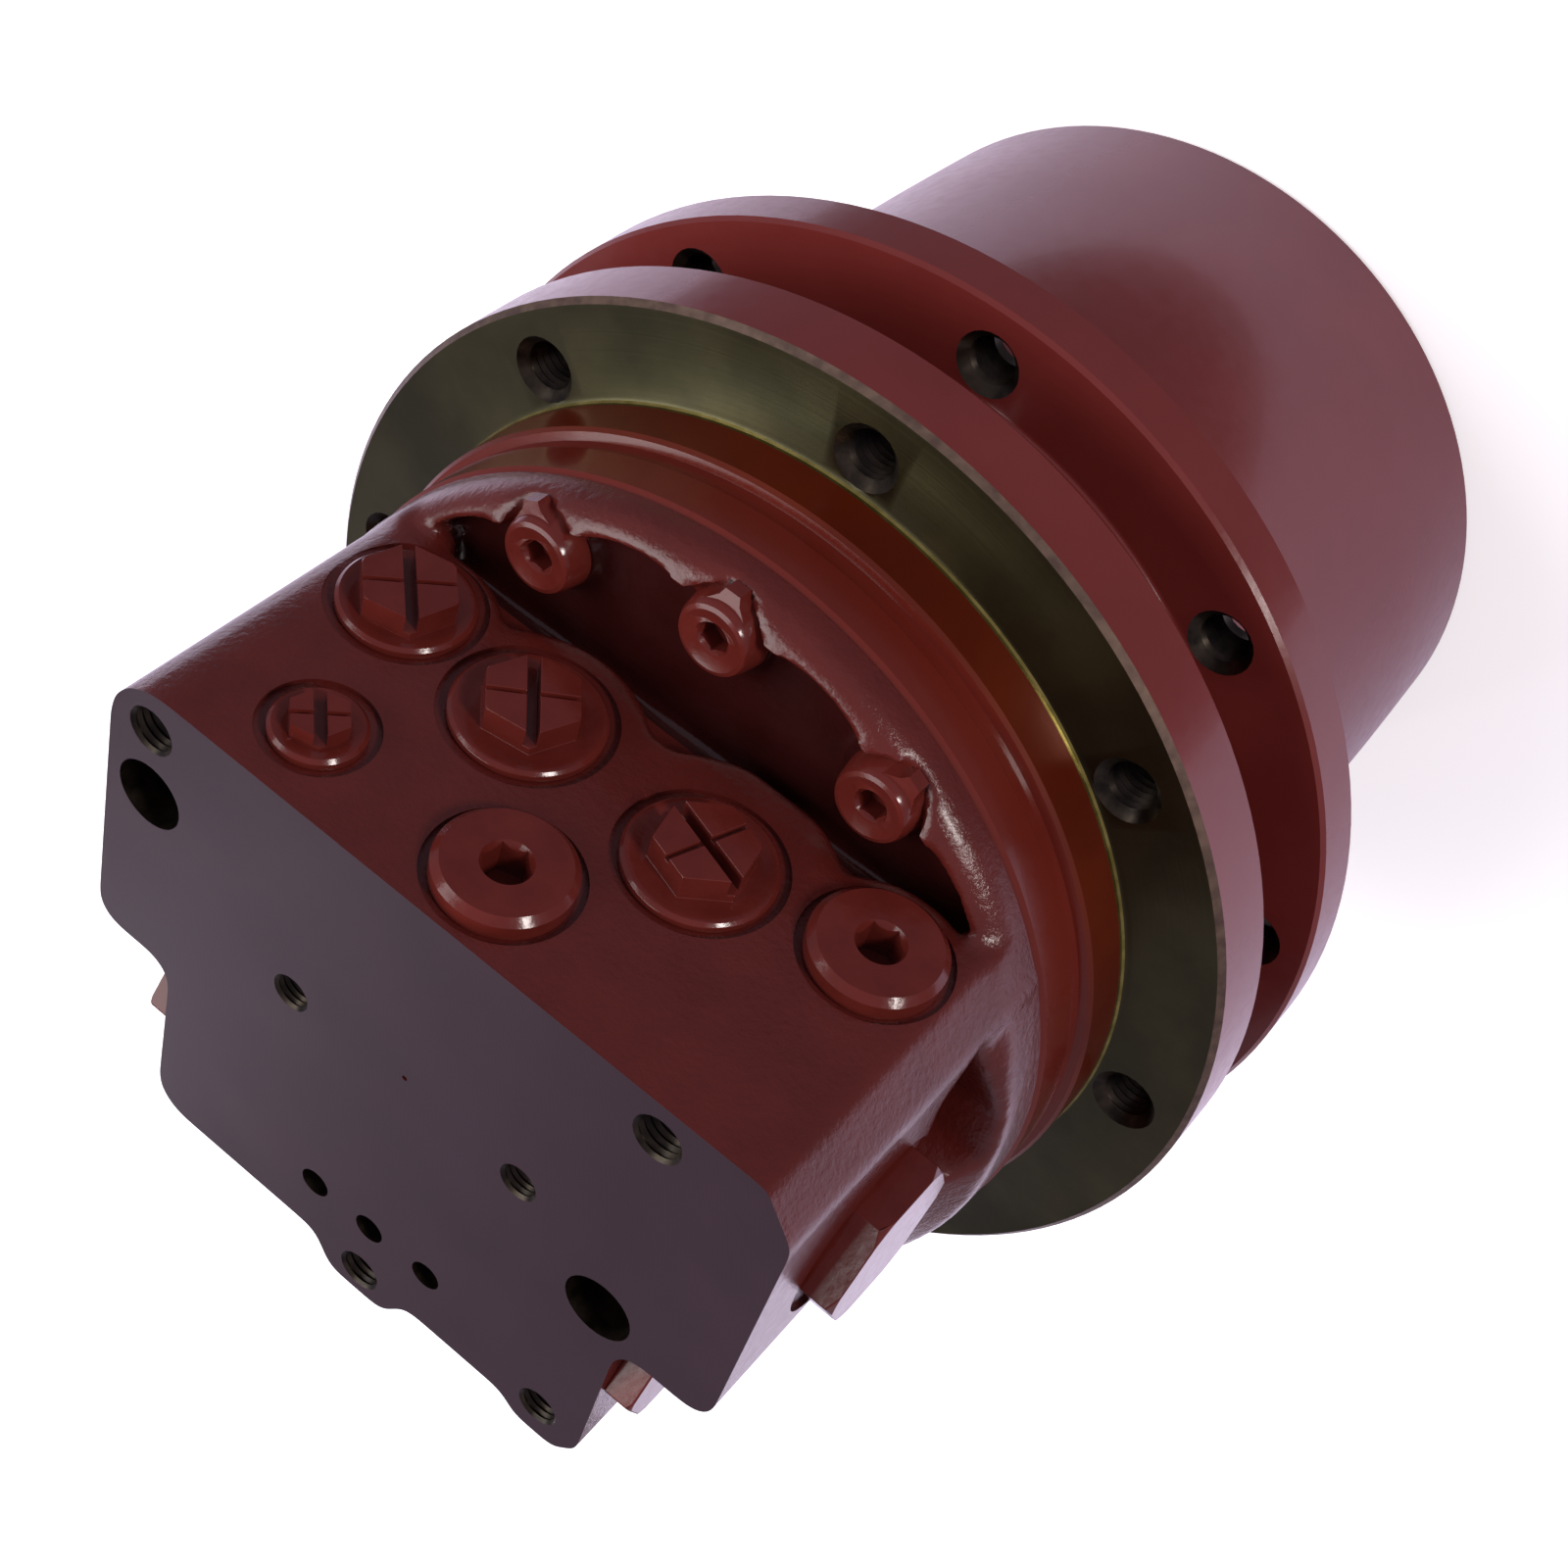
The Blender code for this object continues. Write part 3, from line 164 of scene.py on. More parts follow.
def polar(radius, degrees):
    turn = math.radians(degrees)
    return Vector((radius * math.cos(turn), radius * math.sin(turn), 0))


def carve(piece, tools, operation="DIFFERENCE"):
    """Cut the tools from a piece, or unite them with it. Several tools are joined first."""
    pick(*tools)
    if len(tools) > 1:
        bpy.ops.object.join()
    tool = bpy.context.object
    boolean = piece.modifiers.new("carve", "BOOLEAN")
    boolean.operation = operation
    boolean.solver = "EXACT"
    boolean.object = tool
    pick(piece)
    bpy.ops.object.modifier_apply(modifier=boolean.name)
    bpy.data.objects.remove(tool)
    return piece


def report(*pieces):
    for piece in pieces:
        print(piece.name, len(piece.data.polygons), "faces")


# %% [markdown]
# ## Finishes
#
# Each finish starts from the real material. One function adds a node with its settings and
# links. Patterns read Object coordinates in metres, so a scale of 1 / size in metres gives a
# pattern its real size. Two close tones in clouds keep a painted or ground surface from looking
# like plastic.

# %% Colour and node helpers
TONE_ENDS = (0.35, 0.65)


def srgb(code):
    """Turn a hex colour into linear values."""
    parts = [int(code[i : i + 2], 16) / 255 for i in (0, 2, 4)]
    return (*[p / 12.92 if p <= 0.04045 else ((p + 0.055) / 1.055) ** 2.4 for p in parts], 1)


def add_node(finish, kind, inputs, tones=(), **settings):
    """Add one node. An input is a value or another node's output, tones are a ramp's colours."""
    node = finish.node_tree.nodes.new("ShaderNode" + kind)
    for name, value in settings.items():
        setattr(node, name, value)
    for name, value in inputs.items():
        if isinstance(value, bpy.types.NodeSocket):
            finish.node_tree.links.new(value, node.inputs[name])
        else:
            node.inputs[name].default_value = value
    for i, code in enumerate(tones):
        node.color_ramp.elements[i].position = TONE_ENDS[i]
        node.color_ramp.elements[i].color = srgb(code)
    return node


def wire_up(finish, output, socket, shader):
    finish.node_tree.links.new(output, shader.inputs[socket])


def new_finish(name, **sockets):
    """A material with a principled shader. Returns it, its shader and Object coordinates."""
    finish = bpy.data.materials.new(name)
    finish.use_nodes = True
    shader = finish.node_tree.nodes["Principled BSDF"]
    for socket, value in sockets.items():
        shader.inputs[socket.replace("_", " ")].default_value = value
    where = add_node(finish, "TexCoord", {}).outputs["Object"]
    return finish, shader, where


def mottle(finish, shader, where, size, tones, detail):
    """Colour a finish with clouds of two tones, of a size in metres. Returns the clouds."""
    clouds = add_node(finish, "TexNoise", {"Vector": where, "Scale": 1 / size, "Detail": detail})
    ramp = add_node(finish, "ValToRGB", {"Fac": clouds.outputs["Fac"]}, tones)
    wire_up(finish, ramp.outputs["Color"], "Base Color", shader)
    return clouds.outputs["Fac"]


# %% [markdown]
# ### Sprayed enamel on iron
#
# The block is cast in sand, so its skin is grainy: about 1 mm lumps, with a few wide waves. The
# enamel over it is thick and wet-looking, which fills the grain and keeps a high gloss. A thin
# coat layer gives that second, sharper reflection. Grain and waves could be real displacement,
# but they are lower than 0.5 mm, so a bump is enough. The turned parts get the same enamel with
# hardly any grain, in a lighter tone that is partly painted light where the drum faces the main
# light. In the recess the enamel is painted nearly black, as painted shade.

# %% Enamels
def enamel(name, tones, gloss, waves, grain, depth, ior=1.42):
    """Glossy maroon enamel. Waves and grain are sizes in metres, depth is the bump's height."""
    finish, shader, where = new_finish(name, Roughness=gloss, Coat_Weight=0.12,
                                       Coat_Roughness=0.06, IOR=ior)
    wide = mottle(finish, shader, where, waves, tones, 3.0)
    fine = add_node(finish, "TexNoise", {"Vector": where, "Scale": 1 / grain, "Detail": 5.0,
                                         "Roughness": 0.6}).outputs["Fac"]
    height = add_node(finish, "Math", {0: wide, 1: fine}, operation="ADD")
    bump = add_node(finish, "Bump", {"Height": height.outputs[0], "Strength": 0.5,
                                     "Distance": depth})
    wire_up(finish, bump.outputs["Normal"], "Normal", shader)
    matt = add_node(finish, "MapRange", {"Value": fine, "From Min": 0.3, "From Max": 0.7,
                                         "To Min": gloss * 0.8, "To Max": gloss * 1.25})
    wire_up(finish, matt.outputs["Result"], "Roughness", shader)
    return finish


cast_enamel = enamel("enamel_on_cast_iron", ("521c17", "591f1a"),
                     gloss=0.17, waves=0.012, grain=0.0014, depth=0.00048)
# Same maroon paint as the block, painted a lighter tone: partly painted light where the drum faces
# the main light.
smooth_enamel_painted_lighter = enamel("enamel_on_machined_iron_painted_lighter", ("6a2622", "702a26"),
                       gloss=0.21, waves=0.030, grain=0.0030, depth=0.00005, ior=1.46)
plug_enamel = enamel("enamel_on_forged_plugs", ("581e18", "60231d"),
                     gloss=0.16, waves=0.008, grain=0.0020, depth=0.00010, ior=1.36)
# Painted shade: the recess floor's enamel is painted nearly black, for the shade in the hollow.
recess_shade_enamel = enamel("enamel_painted_shade_in_recess", ("2c0e0c", "331110"),
                       gloss=0.16, waves=0.014, grain=0.0030, depth=0.00025)
neck_enamel = enamel("enamel_on_turned_neck", ("5c1d14", "632117"),
                     gloss=0.18, waves=0.030, grain=0.0012, depth=0.00003, ior=1.36)
print("enamels", len(bpy.data.materials))

# %% [markdown]
# ### Enamel dust on a milled face
#
# The port face was milled flat and got only a thin coat, so it is duller, cooler and darker than
# the rest, with the faint arcs that the face mill left. The arcs are rings round a point beside
# the face, where the mill's centre was. Cut grooves would be far below a pixel, so they are bump.

# %% Dull enamel on the port face
MILL_CENTRE = (0.11, 0.02, 0)
face_enamel, shader, where = new_finish("enamel_on_milled_face", Roughness=0.46, IOR=1.4)
mill = add_node(face_enamel, "Mapping", {"Vector": where, "Location": MILL_CENTRE})
arcs = add_node(face_enamel, "TexWave", {"Vector": mill.outputs["Vector"], "Scale": 330.0,
                "Distortion": 0.6, "Detail": 2.0}, wave_type="RINGS", rings_direction="Z")
mottle(face_enamel, shader, where, 0.03, ("28141e", "2e1924"), 4.0)
bump = add_node(face_enamel, "Bump", {"Height": arcs.outputs["Fac"], "Strength": 0.12,
                "Distance": 0.00003})
wire_up(face_enamel, bump.outputs["Normal"], "Normal", shader)
print("port face", face_enamel.name)

# %% [markdown]
# ### Yellow-passivated, oiled iron
#
# The chassis flange's face was masked and shows turned iron with an olive, oily passivation. The
# lathe leaves rings round the shaft, so the pattern depends on the distance from the axis, and on
# the pilot's wall beside it on the height. The real feed is about 0.2 mm. It is drawn at 0.8 to
# 0.9 mm, because a finer one wouldn't show. The pilot got a thin, see-through orange coat.

# %% Turned metal finishes
FACE_FEED = 0.0009
WALL_FEED = 0.0008
flange_metal, shader, where = new_finish("passivated_turned_iron", Metallic=1.0, Roughness=0.30,
                                         Coat_Weight=0.15, Coat_Roughness=0.2)
mottle(flange_metal, shader, where, 0.022, ("3a3826", "4c4830"), 5.0)
flat = add_node(flange_metal, "VectorMath", {0: where, 1: (1, 1, 0)}, operation="MULTIPLY")
far = add_node(flange_metal, "VectorMath", {0: flat.outputs["Vector"]}, operation="LENGTH")
rings = add_node(flange_metal, "TexNoise", {"W": far.outputs["Value"], "Scale": 1 / FACE_FEED,
                 "Detail": 2.0}, noise_dimensions="1D")
bump = add_node(flange_metal, "Bump", {"Height": rings.outputs["Fac"], "Strength": 0.35,
                "Distance": 0.00004})
wire_up(flange_metal, bump.outputs["Normal"], "Normal", shader)

pilot_coat, shader, where = new_finish("thin_enamel_on_turned_pilot", Metallic=0.35,
                                       Roughness=0.3, Coat_Weight=0.15, Coat_Roughness=0.12,
                                       IOR=1.33)
mottle(pilot_coat, shader, where, 0.03, ("581c0c", "66240f"), 4.0)
parts = add_node(pilot_coat, "SeparateXYZ", {"Vector": where})
rings = add_node(pilot_coat, "TexNoise", {"W": parts.outputs["Z"], "Scale": 1 / WALL_FEED,
                 "Detail": 2.0}, noise_dimensions="1D")
bump = add_node(pilot_coat, "Bump", {"Height": rings.outputs["Fac"], "Strength": 0.3,
                "Distance": 0.00003})
wire_up(pilot_coat, bump.outputs["Normal"], "Normal", shader)
print("turned", flange_metal.name, pilot_coat.name)

# %% [markdown]
# ### Bare and inner metals
#
# Threads and worn corners show plain steel. Inside there are ground steel, hobbed gear steel,
# bronze, blackened steel and nitrile rubber. They differ in tone, gloss and grain only, so one
# function makes them all. A metal keeps its default index of refraction.

# %% Plain metals and rubber
def plain_finish(name, tones, metallic, rough, grain):
    finish, shader, where = new_finish(name, Metallic=metallic, Roughness=rough)
    clouds = mottle(finish, shader, where, grain, tones, 5.0)
    bump = add_node(finish, "Bump", {"Height": clouds, "Strength": 0.4, "Distance": 0.00003})
    wire_up(finish, bump.outputs["Normal"], "Normal", shader)
    return finish


# Cut threads hold oil and dirt, so only their crests glint.
thread_steel = plain_finish("oiled_thread_steel", ("1c1713", "3d352b"), 0.8, 0.30, 0.004)
# The fillet at the pilot's foot kept its zinc chromate and shines yellow.
chromate = plain_finish("yellow_chromate_fillet", ("766c34", "978b4e"), 0.9, 0.24, 0.004)
# Handling has rubbed the flange's corner down to grey primer and iron.
worn_edge = plain_finish("worn_machined_edge", ("54423a", "6e5a4c"), 0.6, 0.36, 0.003)
# Races, pins and the shaft are ground bright, with a tight highlight.
ground_steel = plain_finish("ground_bearing_steel", ("8f9091", "a9aaab"), 1.0, 0.22, 0.002)
# Hobbed and hardened teeth are a little browner and duller.
gear_steel = plain_finish("hobbed_gear_steel", ("6e6a64", "8a857d"), 1.0, 0.34, 0.0015)
# Sintered bronze is open-grained, so its warm shine is soft.
bronze = plain_finish("sintered_bronze", ("8c6234", "ab7c45"), 1.0, 0.38, 0.001)
# Black oxide leaves the steel dark with a dry sheen.
black_steel = plain_finish("blackened_steel", ("1d1c1c", "2f2d2c"), 0.7, 0.42, 0.002)
# Moulded rubber is the one finish here that isn't metal, and nearly matt.
rubber = plain_finish("nitrile_rubber", ("0f0f0f", "1b1b1b"), 0.0, 0.62, 0.0008)
print("finishes", len(bpy.data.materials))

# %% [markdown]
# ## The camera
#
# The camera's place was solved from the photograph: the round flanges give the axis, and the
# block's corners give the turn about it. The unit lies on its side in the photograph, so here,
# where it stands on its drum, the camera is rolled. Three directions and a point say that more
# plainly than three angles would.

# %% Camera
right = Vector((0.7738, 0.2432, -0.5850))
up = Vector((-0.5832, 0.6341, -0.5078))
ahead = Vector((-0.2475, -0.7340, -0.6324))
eye = Vector((0.1298, 0.3771, 0.4803))
pick()
bpy.ops.object.camera_add()
camera = bpy.context.object
camera.data.lens = 55.9
camera.data.sensor_width = 36
camera.matrix_world = Matrix((
    (right.x, up.x, -ahead.x, eye.x),
    (right.y, up.y, -ahead.y, eye.y),
    (right.z, up.z, -ahead.z, eye.z),
    (0, 0, 0, 1),
))
bpy.context.scene.camera = camera
print("camera", round(eye.length, 3), "m away, lens", camera.data.lens)

# %% [markdown]
# ## Measures and profiles
#
# The faces that pieces share are named once. A turned piece is only as good as its profile, so
# one helper puts an arc at a corner, and another draws the profile of a tapped hole: a stack of
# V grooves at the thread's pitch. A true helix could be swept instead, but the grooves look the
# same and stay a closed, simple shape.

# %% Faces and circles that pieces share
FLANGE_FACE = 0.168
SPROCKET_FACE = 0.128
FLANGE_HOLES_R = 0.099
SPROCKET_HOLES_R = 0.100
M12_CORE_R = 0.0051
M12_PITCH = 0.00175
M12_MOUTH_R = 0.0070
GROOVE_DEPTH = 0.42  # of a pitch
sprocket_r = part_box("hub_housing")[1][0]
flange_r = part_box("motor_case")[1][0]
port_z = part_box("port_block")[1][2]
print("hub", sprocket_r, "flange", flange_r, "height", port_z)


# %% Profile helpers
def soften(profile, corners):
    """Replace chosen profile corners by short arcs. Corners maps an index to a radius."""
    points = []
    for i, corner in enumerate(profile):
        if i not in corners:
            points.append(corner)
            continue
        here = Vector(corner)
        back = (Vector(profile[i - 1]) - here).normalized()
        on = (Vector(profile[(i + 1) % len(profile)]) - here).normalized()
        spread = back.angle(on)
        middle = here + (back + on).normalized() * (corners[i] / math.sin(spread / 2))
        reach = corners[i] / math.tan(spread / 2)
        start = here + back * reach - middle
        end = here + on * reach - middle
        swing = start.angle_signed(end)
        for k in range(5):
            points.append(tuple(middle + Matrix.Rotation(-swing * k / 4, 2) @ start))
    return points


def rounded_outline(corners):
    """A polygon with an arc at each (x, y, radius) corner."""
    profile = [corner[:2] for corner in corners]
    return soften(profile, {i: corner[2] for i, corner in enumerate(corners)})


def rectangle(left, front, right, back):
    return [(left, front), (right, front), (right, back), (left, back)]


def tapped_cutter(radius, mouth, depth, through):
    """A cutter for a tapped hole: mouth at z = 0 with a countersink, then V grooves."""
    pitch = M12_PITCH * radius / M12_CORE_R
    root = radius + pitch * GROOVE_DEPTH
    points = [(0.0, 0.002), (mouth, 0.002), (mouth, 0.0), (radius, radius - mouth)]
    z = radius - mouth
    while z - pitch > 0.0005 - depth:
        points += [(root, z - pitch / 2), (radius, z - pitch)]
        z -= pitch
    points.append((radius, -depth))
    if through:
        points += [(radius, -depth - 0.003), (0.0, -depth - 0.003)]
    else:
        points.append((0.0, -depth - radius * 0.5))
    return turn_piece("tapped_cutter", points, 24)


def tap_ring(piece, x, y, face, depth, count):
    """Tap a ring of M12 holes into a face, the first one at x, y."""
    cutters = [place(tapped_cutter(M12_CORE_R, M12_MOUTH_R, depth, True), facing(x, y, face))]
    for i in range(1, count):
        cutters.append(twin(cutters[0], "tapped_cutter", turned(360 / count * i)))
    carve(piece, cutters)


# %% [markdown]
# ## The turning hub
#
# The hub is one iron casting, turned all over: drum, thin sprocket flange and neck. It could be
# joined from cylinders, but one spun profile has no seams and takes a corner's radius exactly.
# The ring gear's space between its teeth is cut with a toothed disc, and nine tapped holes take
# the sprocket's bolts.

# %% Turn the hub
TEETH = 60
hub_profile = [
    # The drum, which widens a little towards the flange
    (0.0800, 0), (0.0863, 0), (0.0873, 0.0010), (0.0879, 0.0160),
    (0.0883, 0.0280), (0.0885, 0.0380), (0.0885, 0.112),
    # The sprocket flange
    (0.0915, 0.115), (0.1117, 0.115), (0.1127, 0.116), (0.1127, 0.127), (0.1119, SPROCKET_FACE),
    # The neck
    (0.092, SPROCKET_FACE), (0.092, 0.1462), (0.0912, 0.147), (0.080, 0.147), (0.080, 0.130),
    # The bearing seats, from above
    (0.078, 0.130), (0.078, 0.1117), (0.073, 0.1117), (0.073, 0.1003), (0.078, 0.1003),
    # The ring gear's bore and the cover's groove
    (0.078, 0.084), (0.079, 0.083), (0.079, 0.068), (0.0696, 0.068), (0.0696, 0.013),
    (0.0800, 0.013), (0.0800, 0.0063), (0.083, 0.0063), (0.083, 0.0032), (0.0800, 0.0032),
]
hub = turn_piece("hub_body", soften(hub_profile, {7: 0.0022, 12: 0.001}), 144)


def toothed_cutter(inner, outer, low, high):
    """A disc with four points for each tooth: two at the gap's root and two at its mouth."""
    points = []
    for i in range(TEETH):
        for r, share in ((inner, 0.335), (outer, 0.13), (outer, -0.13), (inner, -0.335)):
            around = 2 * math.pi / TEETH * (i - share)
            points.append((r * math.cos(around), r * math.sin(around)))
    return raise_piece("ring_cutter", points, low, high)


carve(hub, [toothed_cutter(0.0726, 0.0781, 0.012, 0.069)])
tap_ring(hub, 0, SPROCKET_HOLES_R, SPROCKET_FACE, 0.0125, 9)
shade(hub, 24)
report(hub)

# %% [markdown]
# ## The motor case
#
# The fixed casting carries the chassis flange, a turned pilot that centres it in the track frame
# and a stepped neck up to the port block. It is spun from one profile as the hub is, for the same
# reason. Eight tapped holes sit on a 198 mm circle.

# %% Turn the case
case_profile = [
    # Bearing seats and the flange's underside
    (0.0560, 0.076), (0.0560, 0.084), (0.060, 0.084), (0.060, 0.128), (0.066, 0.128),
    (0.066, 0.1537), (0.077, 0.1537), (0.077, 0.1507), (0.1110, 0.1507), (0.112, 0.1520),
    # The flange's rim and face, and the fillet at the pilot's foot
    (0.112, 0.1668), (0.1108, FLANGE_FACE), (0.0921, FLANGE_FACE), (0.0915, 0.1682),
    (0.0911, 0.1686), (0.0910, 0.1692),
    # The pilot, a groove and the neck
    (0.0910, 0.1790), (0.0903, 0.1798), (0.0886, 0.1803), (0.0886, 0.1837),
    (0.0892, 0.1844), (0.0893, 0.1930), (0.0884, 0.194), (0.056, 0.194), (0.056, 0.166),
    # The motor's room, the bearings' and the seal's
    (0.050, 0.166), (0.050, 0.110),
    (0.026, 0.110), (0.026, 0.0977), (0.0205, 0.0977), (0.0205, 0.0884), (0.016, 0.0884),
    (0.016, 0.0845), (0.031, 0.0845), (0.031, 0.076),
]
case = turn_piece("case_body", case_profile, 144)
tap_ring(case, FLANGE_HOLES_R, 0, FLANGE_FACE, 0.0165, 8)
shade(case, 24)
report(case)

# %% [markdown]
# ## The port block
#
# The block is sand-cast, so its edges are soft and its hollows flow into each other. A raised
# outline and a disc are joined, hollowed and then remeshed with small voxels, and a Smooth
# modifier rounds what the sand would round. It could be modelled as a subdivision surface, but
# remeshing lets the hollows be cut freely. The machined faces come afterwards, so that they stay
# crisp, as the mill left them on the real block.

# %% Raise the block from its outline
PLUG_FACE = 0.053
LEFT_WALL = -0.0765
RIGHT_WALL = 0.078
BEYOND = 0.12
block = raise_piece("block_body", rounded_outline([
    (LEFT_WALL, -0.0185, 0.006), (-0.057, -0.0185, 0.006), (-0.057, -0.063, 0.008),
    (-0.0125, -0.063, 0.005), (-0.0070, -0.0708, 0.005), (0.0070, -0.0708, 0.005),
    (0.0125, -0.063, 0.005), (0.0375, -0.063, 0.005), (0.0425, -0.0668, 0.003),
    (0.0520, -0.0668, 0.003), (0.057, -0.0610, 0.004), (0.057, -0.0185, 0.006),
    (RIGHT_WALL, -0.0185, 0.006), (RIGHT_WALL, PLUG_FACE - 0.0095, 0.002),
    (0.0700, PLUG_FACE, 0.002), (LEFT_WALL, PLUG_FACE, 0.012),
]), 0.190, port_z + 0.004)
disc = turn_piece("flange_disc", [(0, 0.190), (0.0887, 0.190), (0.0887, 0.2045),
                                  (0.080, 0.216), (0, 0.216)])
carve(block, [disc], "UNION")
in_front = rectangle(-BEYOND, PLUG_FACE, BEYOND, 0.13)
carve(block, [raise_piece("in_front", in_front, 0.2046, 0.29)])
rim = turn_piece("rim", [(0.0920, 0.1975), (0.0888, 0.1975), (0.0880, 0.2005),
                         (0.0862, 0.2030), (0.0835, 0.2044), (0.0835, 0.2066),
                         (0.0920, 0.2066)])
behind = rectangle(-BEYOND, -BEYOND, BEYOND, PLUG_FACE)
carve(block, [carve(rim, [raise_piece("behind", behind, 0.19, 0.22)])])
report(block)

# %% [markdown]
# ### The lobed recess
#
# Behind the plug face the casting is hollowed into a row of lobes, one between each pair of
# screws. The edge on the plug face follows the plugs' spotfaces, with a cusp between them. That
# edge could be drawn by hand, but worked out from the plugs' circles it stays even. The edge is
# cut in three shallow steps, which the smoothing later turns into one round lip.

# %% Hollow the recess
FLOOR = 0.2003
HOLLOW = 0.1975
LIP = 0.008
LOBE_CIRCLE_R = 0.0565
PLUGS = {
    "port_plug_1": (-0.054, 0.221, 0.0155), "port_plug_2": (-0.021, 0.2245, 0.0170),
    "port_plug_3": (0.0214, 0.227, 0.0165), "check_plug": (-0.0433, 0.255, 0.0113),
    "socket_plug_1": (0.0, 0.255, 0.01475), "socket_plug_2": (0.055, 0.2195, 0.01475),
}


def shelf_edge(x):
    """Height of the recess's upper edge on the plug face."""
    lobes = ((-0.054, 0.221, 0.0185), (-0.021, 0.2245, 0.0232), (0.0214, 0.227, 0.0272),
             (0.055, 0.2195, 0.0190))
    under = [z - math.sqrt(r * r - (x - c) ** 2) for c, z, r in lobes if abs(x - c) < r]
    return min(max(min(under, default=FLOOR + LIP), FLOOR + 0.0004), FLOOR + LIP)


low, high, count = -0.060, 0.064, 62
edge = [low + (high - low) * i / count for i in range(count + 1)]
for lift, depth in ((0, 0.009), (0.0012, 0.0026), (0.0026, 0.0010)):
    outline = [(x, shelf_edge(x) + lift) for x in reversed(edge)]
    outline += [(low, HOLLOW), (high, HOLLOW)]
    shelf = raise_piece("shelf", outline, -PLUG_FACE - 0.002, -PLUG_FACE + depth)
    carve(block, [place(shelf, turned(90, "X"))])
for turn in (45, 75, 105, 135):
    centre = polar(LOBE_CIRCLE_R, turn)
    lobe = turn_piece("lobe", [(0, HOLLOW), (0.0262, HOLLOW), (0.0285, 0.2075), (0, 0.2075)], 64)
    place(lobe, facing(centre.x, centre.y, 0))
    inside = rectangle(-BEYOND, -BEYOND, BEYOND, PLUG_FACE - 0.0005)
    carve(lobe, [raise_piece("inside", inside, 0.19, 0.21)])
    carve(block, [lobe])
report(block)

# %% [markdown]
# ### Pockets for the screws
#
# Each screw stands in a round pocket, and a notch outwards holds its lug. The three screws in the
# recess also get a round boss, which stands in the hollow. Pockets, notches and bosses overlap
# each other, so they go in three cuts.

# %% Pockets, notches and bosses
SCREW_CIRCLE_R = 0.0775
SCREW_TURNS = (60, 90, 120, -28, 208, -70, 250)
screw_spots = [polar(SCREW_CIRCLE_R, turn) for turn in SCREW_TURNS]
POCKET_TOP = 0.228
pockets, notches, bosses = [], [], []
for turn, spot in zip(SCREW_TURNS, screw_spots):
    pocket = turn_piece("pocket", [(0, FLOOR), (0.0093, FLOOR), (0.0093, POCKET_TOP),
                                   (0, POCKET_TOP)], 40)
    pockets.append(place(pocket, facing(spot.x, spot.y, 0)))
    notch = raise_piece("notch", [(0, -0.0036), (0.0135, -0.0032), (0.0135, 0.0032), (0, 0.0036)],
                        FLOOR, POCKET_TOP)
    notches.append(place(notch, facing(spot.x, spot.y, 0, turn=turn)))
for spot in screw_spots[:3]:
    boss = turn_piece("boss", [(0, 0.196), (0.0098, 0.196), (0.0090, FLOOR), (0, FLOOR)], 40)
    bosses.append(place(boss, facing(spot.x, spot.y, 0)))
carve(block, pockets)
carve(block, notches)
carve(block, bosses, "UNION")
report(block)

# %% [markdown]
# ### Hollows beside the spool caps
#
# Beside each spool cap the pattern maker left a pointed hollow, so that a spanner reaches the cap
# past the round flange. It is an outline pushed along X into the wall, because its walls run
# straight in and only its outline matters.

# %% Cut the hollows
hollow = rounded_outline([
    (0.0425, 0.2115, 0.0010), (0.0320, 0.2190, 0.0030), (0.0220, 0.2165, 0.0030),
    (0.0060, 0.2165, 0.0020), (0.0010, 0.2120, 0.0030), (0.0060, 0.2060, 0.0030),
    (0.0180, 0.2045, 0.0060),
])
for low, high in ((0.0705, 0.0910), (-0.0910, -0.0690)):
    carve(block, [place(raise_piece("hollow", hollow, low, high), turned(90) @ turned(90, "X"))])
report(block)

# %% [markdown]
# ### Casting skin
#
# Remesh turns the block into an even skin of small squares. Smooth then rounds every edge by
# about two millimetres, and the wide flat faces stay where they are. A Bevel would need clean
# edges, which a shape cut this often doesn't have.

# %% Remesh and smooth the casting
VOXEL = 0.0011
pick(block)
remesh = block.modifiers.new("sand", "REMESH")
remesh.mode = "VOXEL"
remesh.voxel_size = VOXEL
remesh.use_smooth_shade = True
bpy.ops.object.modifier_apply(modifier=remesh.name)
rounding = block.modifiers.new("rounding", "SMOOTH")
rounding.factor = 0.5
rounding.iterations = 14
bpy.ops.object.modifier_apply(modifier=rounding.name)
report(block)

# %% [markdown]
# ### Machining the block
#
# Now the cutters of the real machine shop: two face mills for the port face and the joint, a
# boring bar for the brake spool, spot facers for the plugs, and drills and taps for the ports.
# Cutting them after the smoothing gives the sharp edges that a machined face has.

# %% Mill, bore, spotface, drill and tap
SPOOL_Y, SPOOL_Z = 0.008, 0.235
SIDE_PLUG_Y, SIDE_PLUG_Z = -0.038, 0.256
PORTS = (
    (-0.0659, 0.0265, 0.0075, 0.018, False), (0.0505, -0.0121, 0.0075, 0.018, False),
    (-0.0667, 0.0433, 0.0048, 0.013, True), (0.0495, 0.0442, 0.0048, 0.013, True),
    (-0.0278, 0.0043, 0.0038, 0.016, True), (0.0278, 0.0043, 0.0038, 0.016, True),
    (-0.0145, -0.0470, 0.0034, 0.018, False), (0.0, -0.0470, 0.0034, 0.018, False),
    (0.0148, -0.0465, 0.0034, 0.018, False), (0.0, -0.0636, 0.0045, 0.015, True),
    (0.0463, -0.0577, 0.0042, 0.015, True),
)


def slab(low, high):
    return raise_piece("slab", rectangle(-BEYOND, -BEYOND, BEYOND, BEYOND), low, high)


def drill(radius, low, high=0.004, steps=32):
    return turn_piece("drill", [(0, low), (radius, low), (radius, high), (0, high)], steps)


def stepped_drill(bore, spot, high):
    """A spot facer with a drill in front of it."""
    return turn_piece("spot_facer", [(0, -0.018), (bore, -0.018), (bore, -0.0012),
                                     (spot, -0.0012), (spot, high), (0, high)], 64)


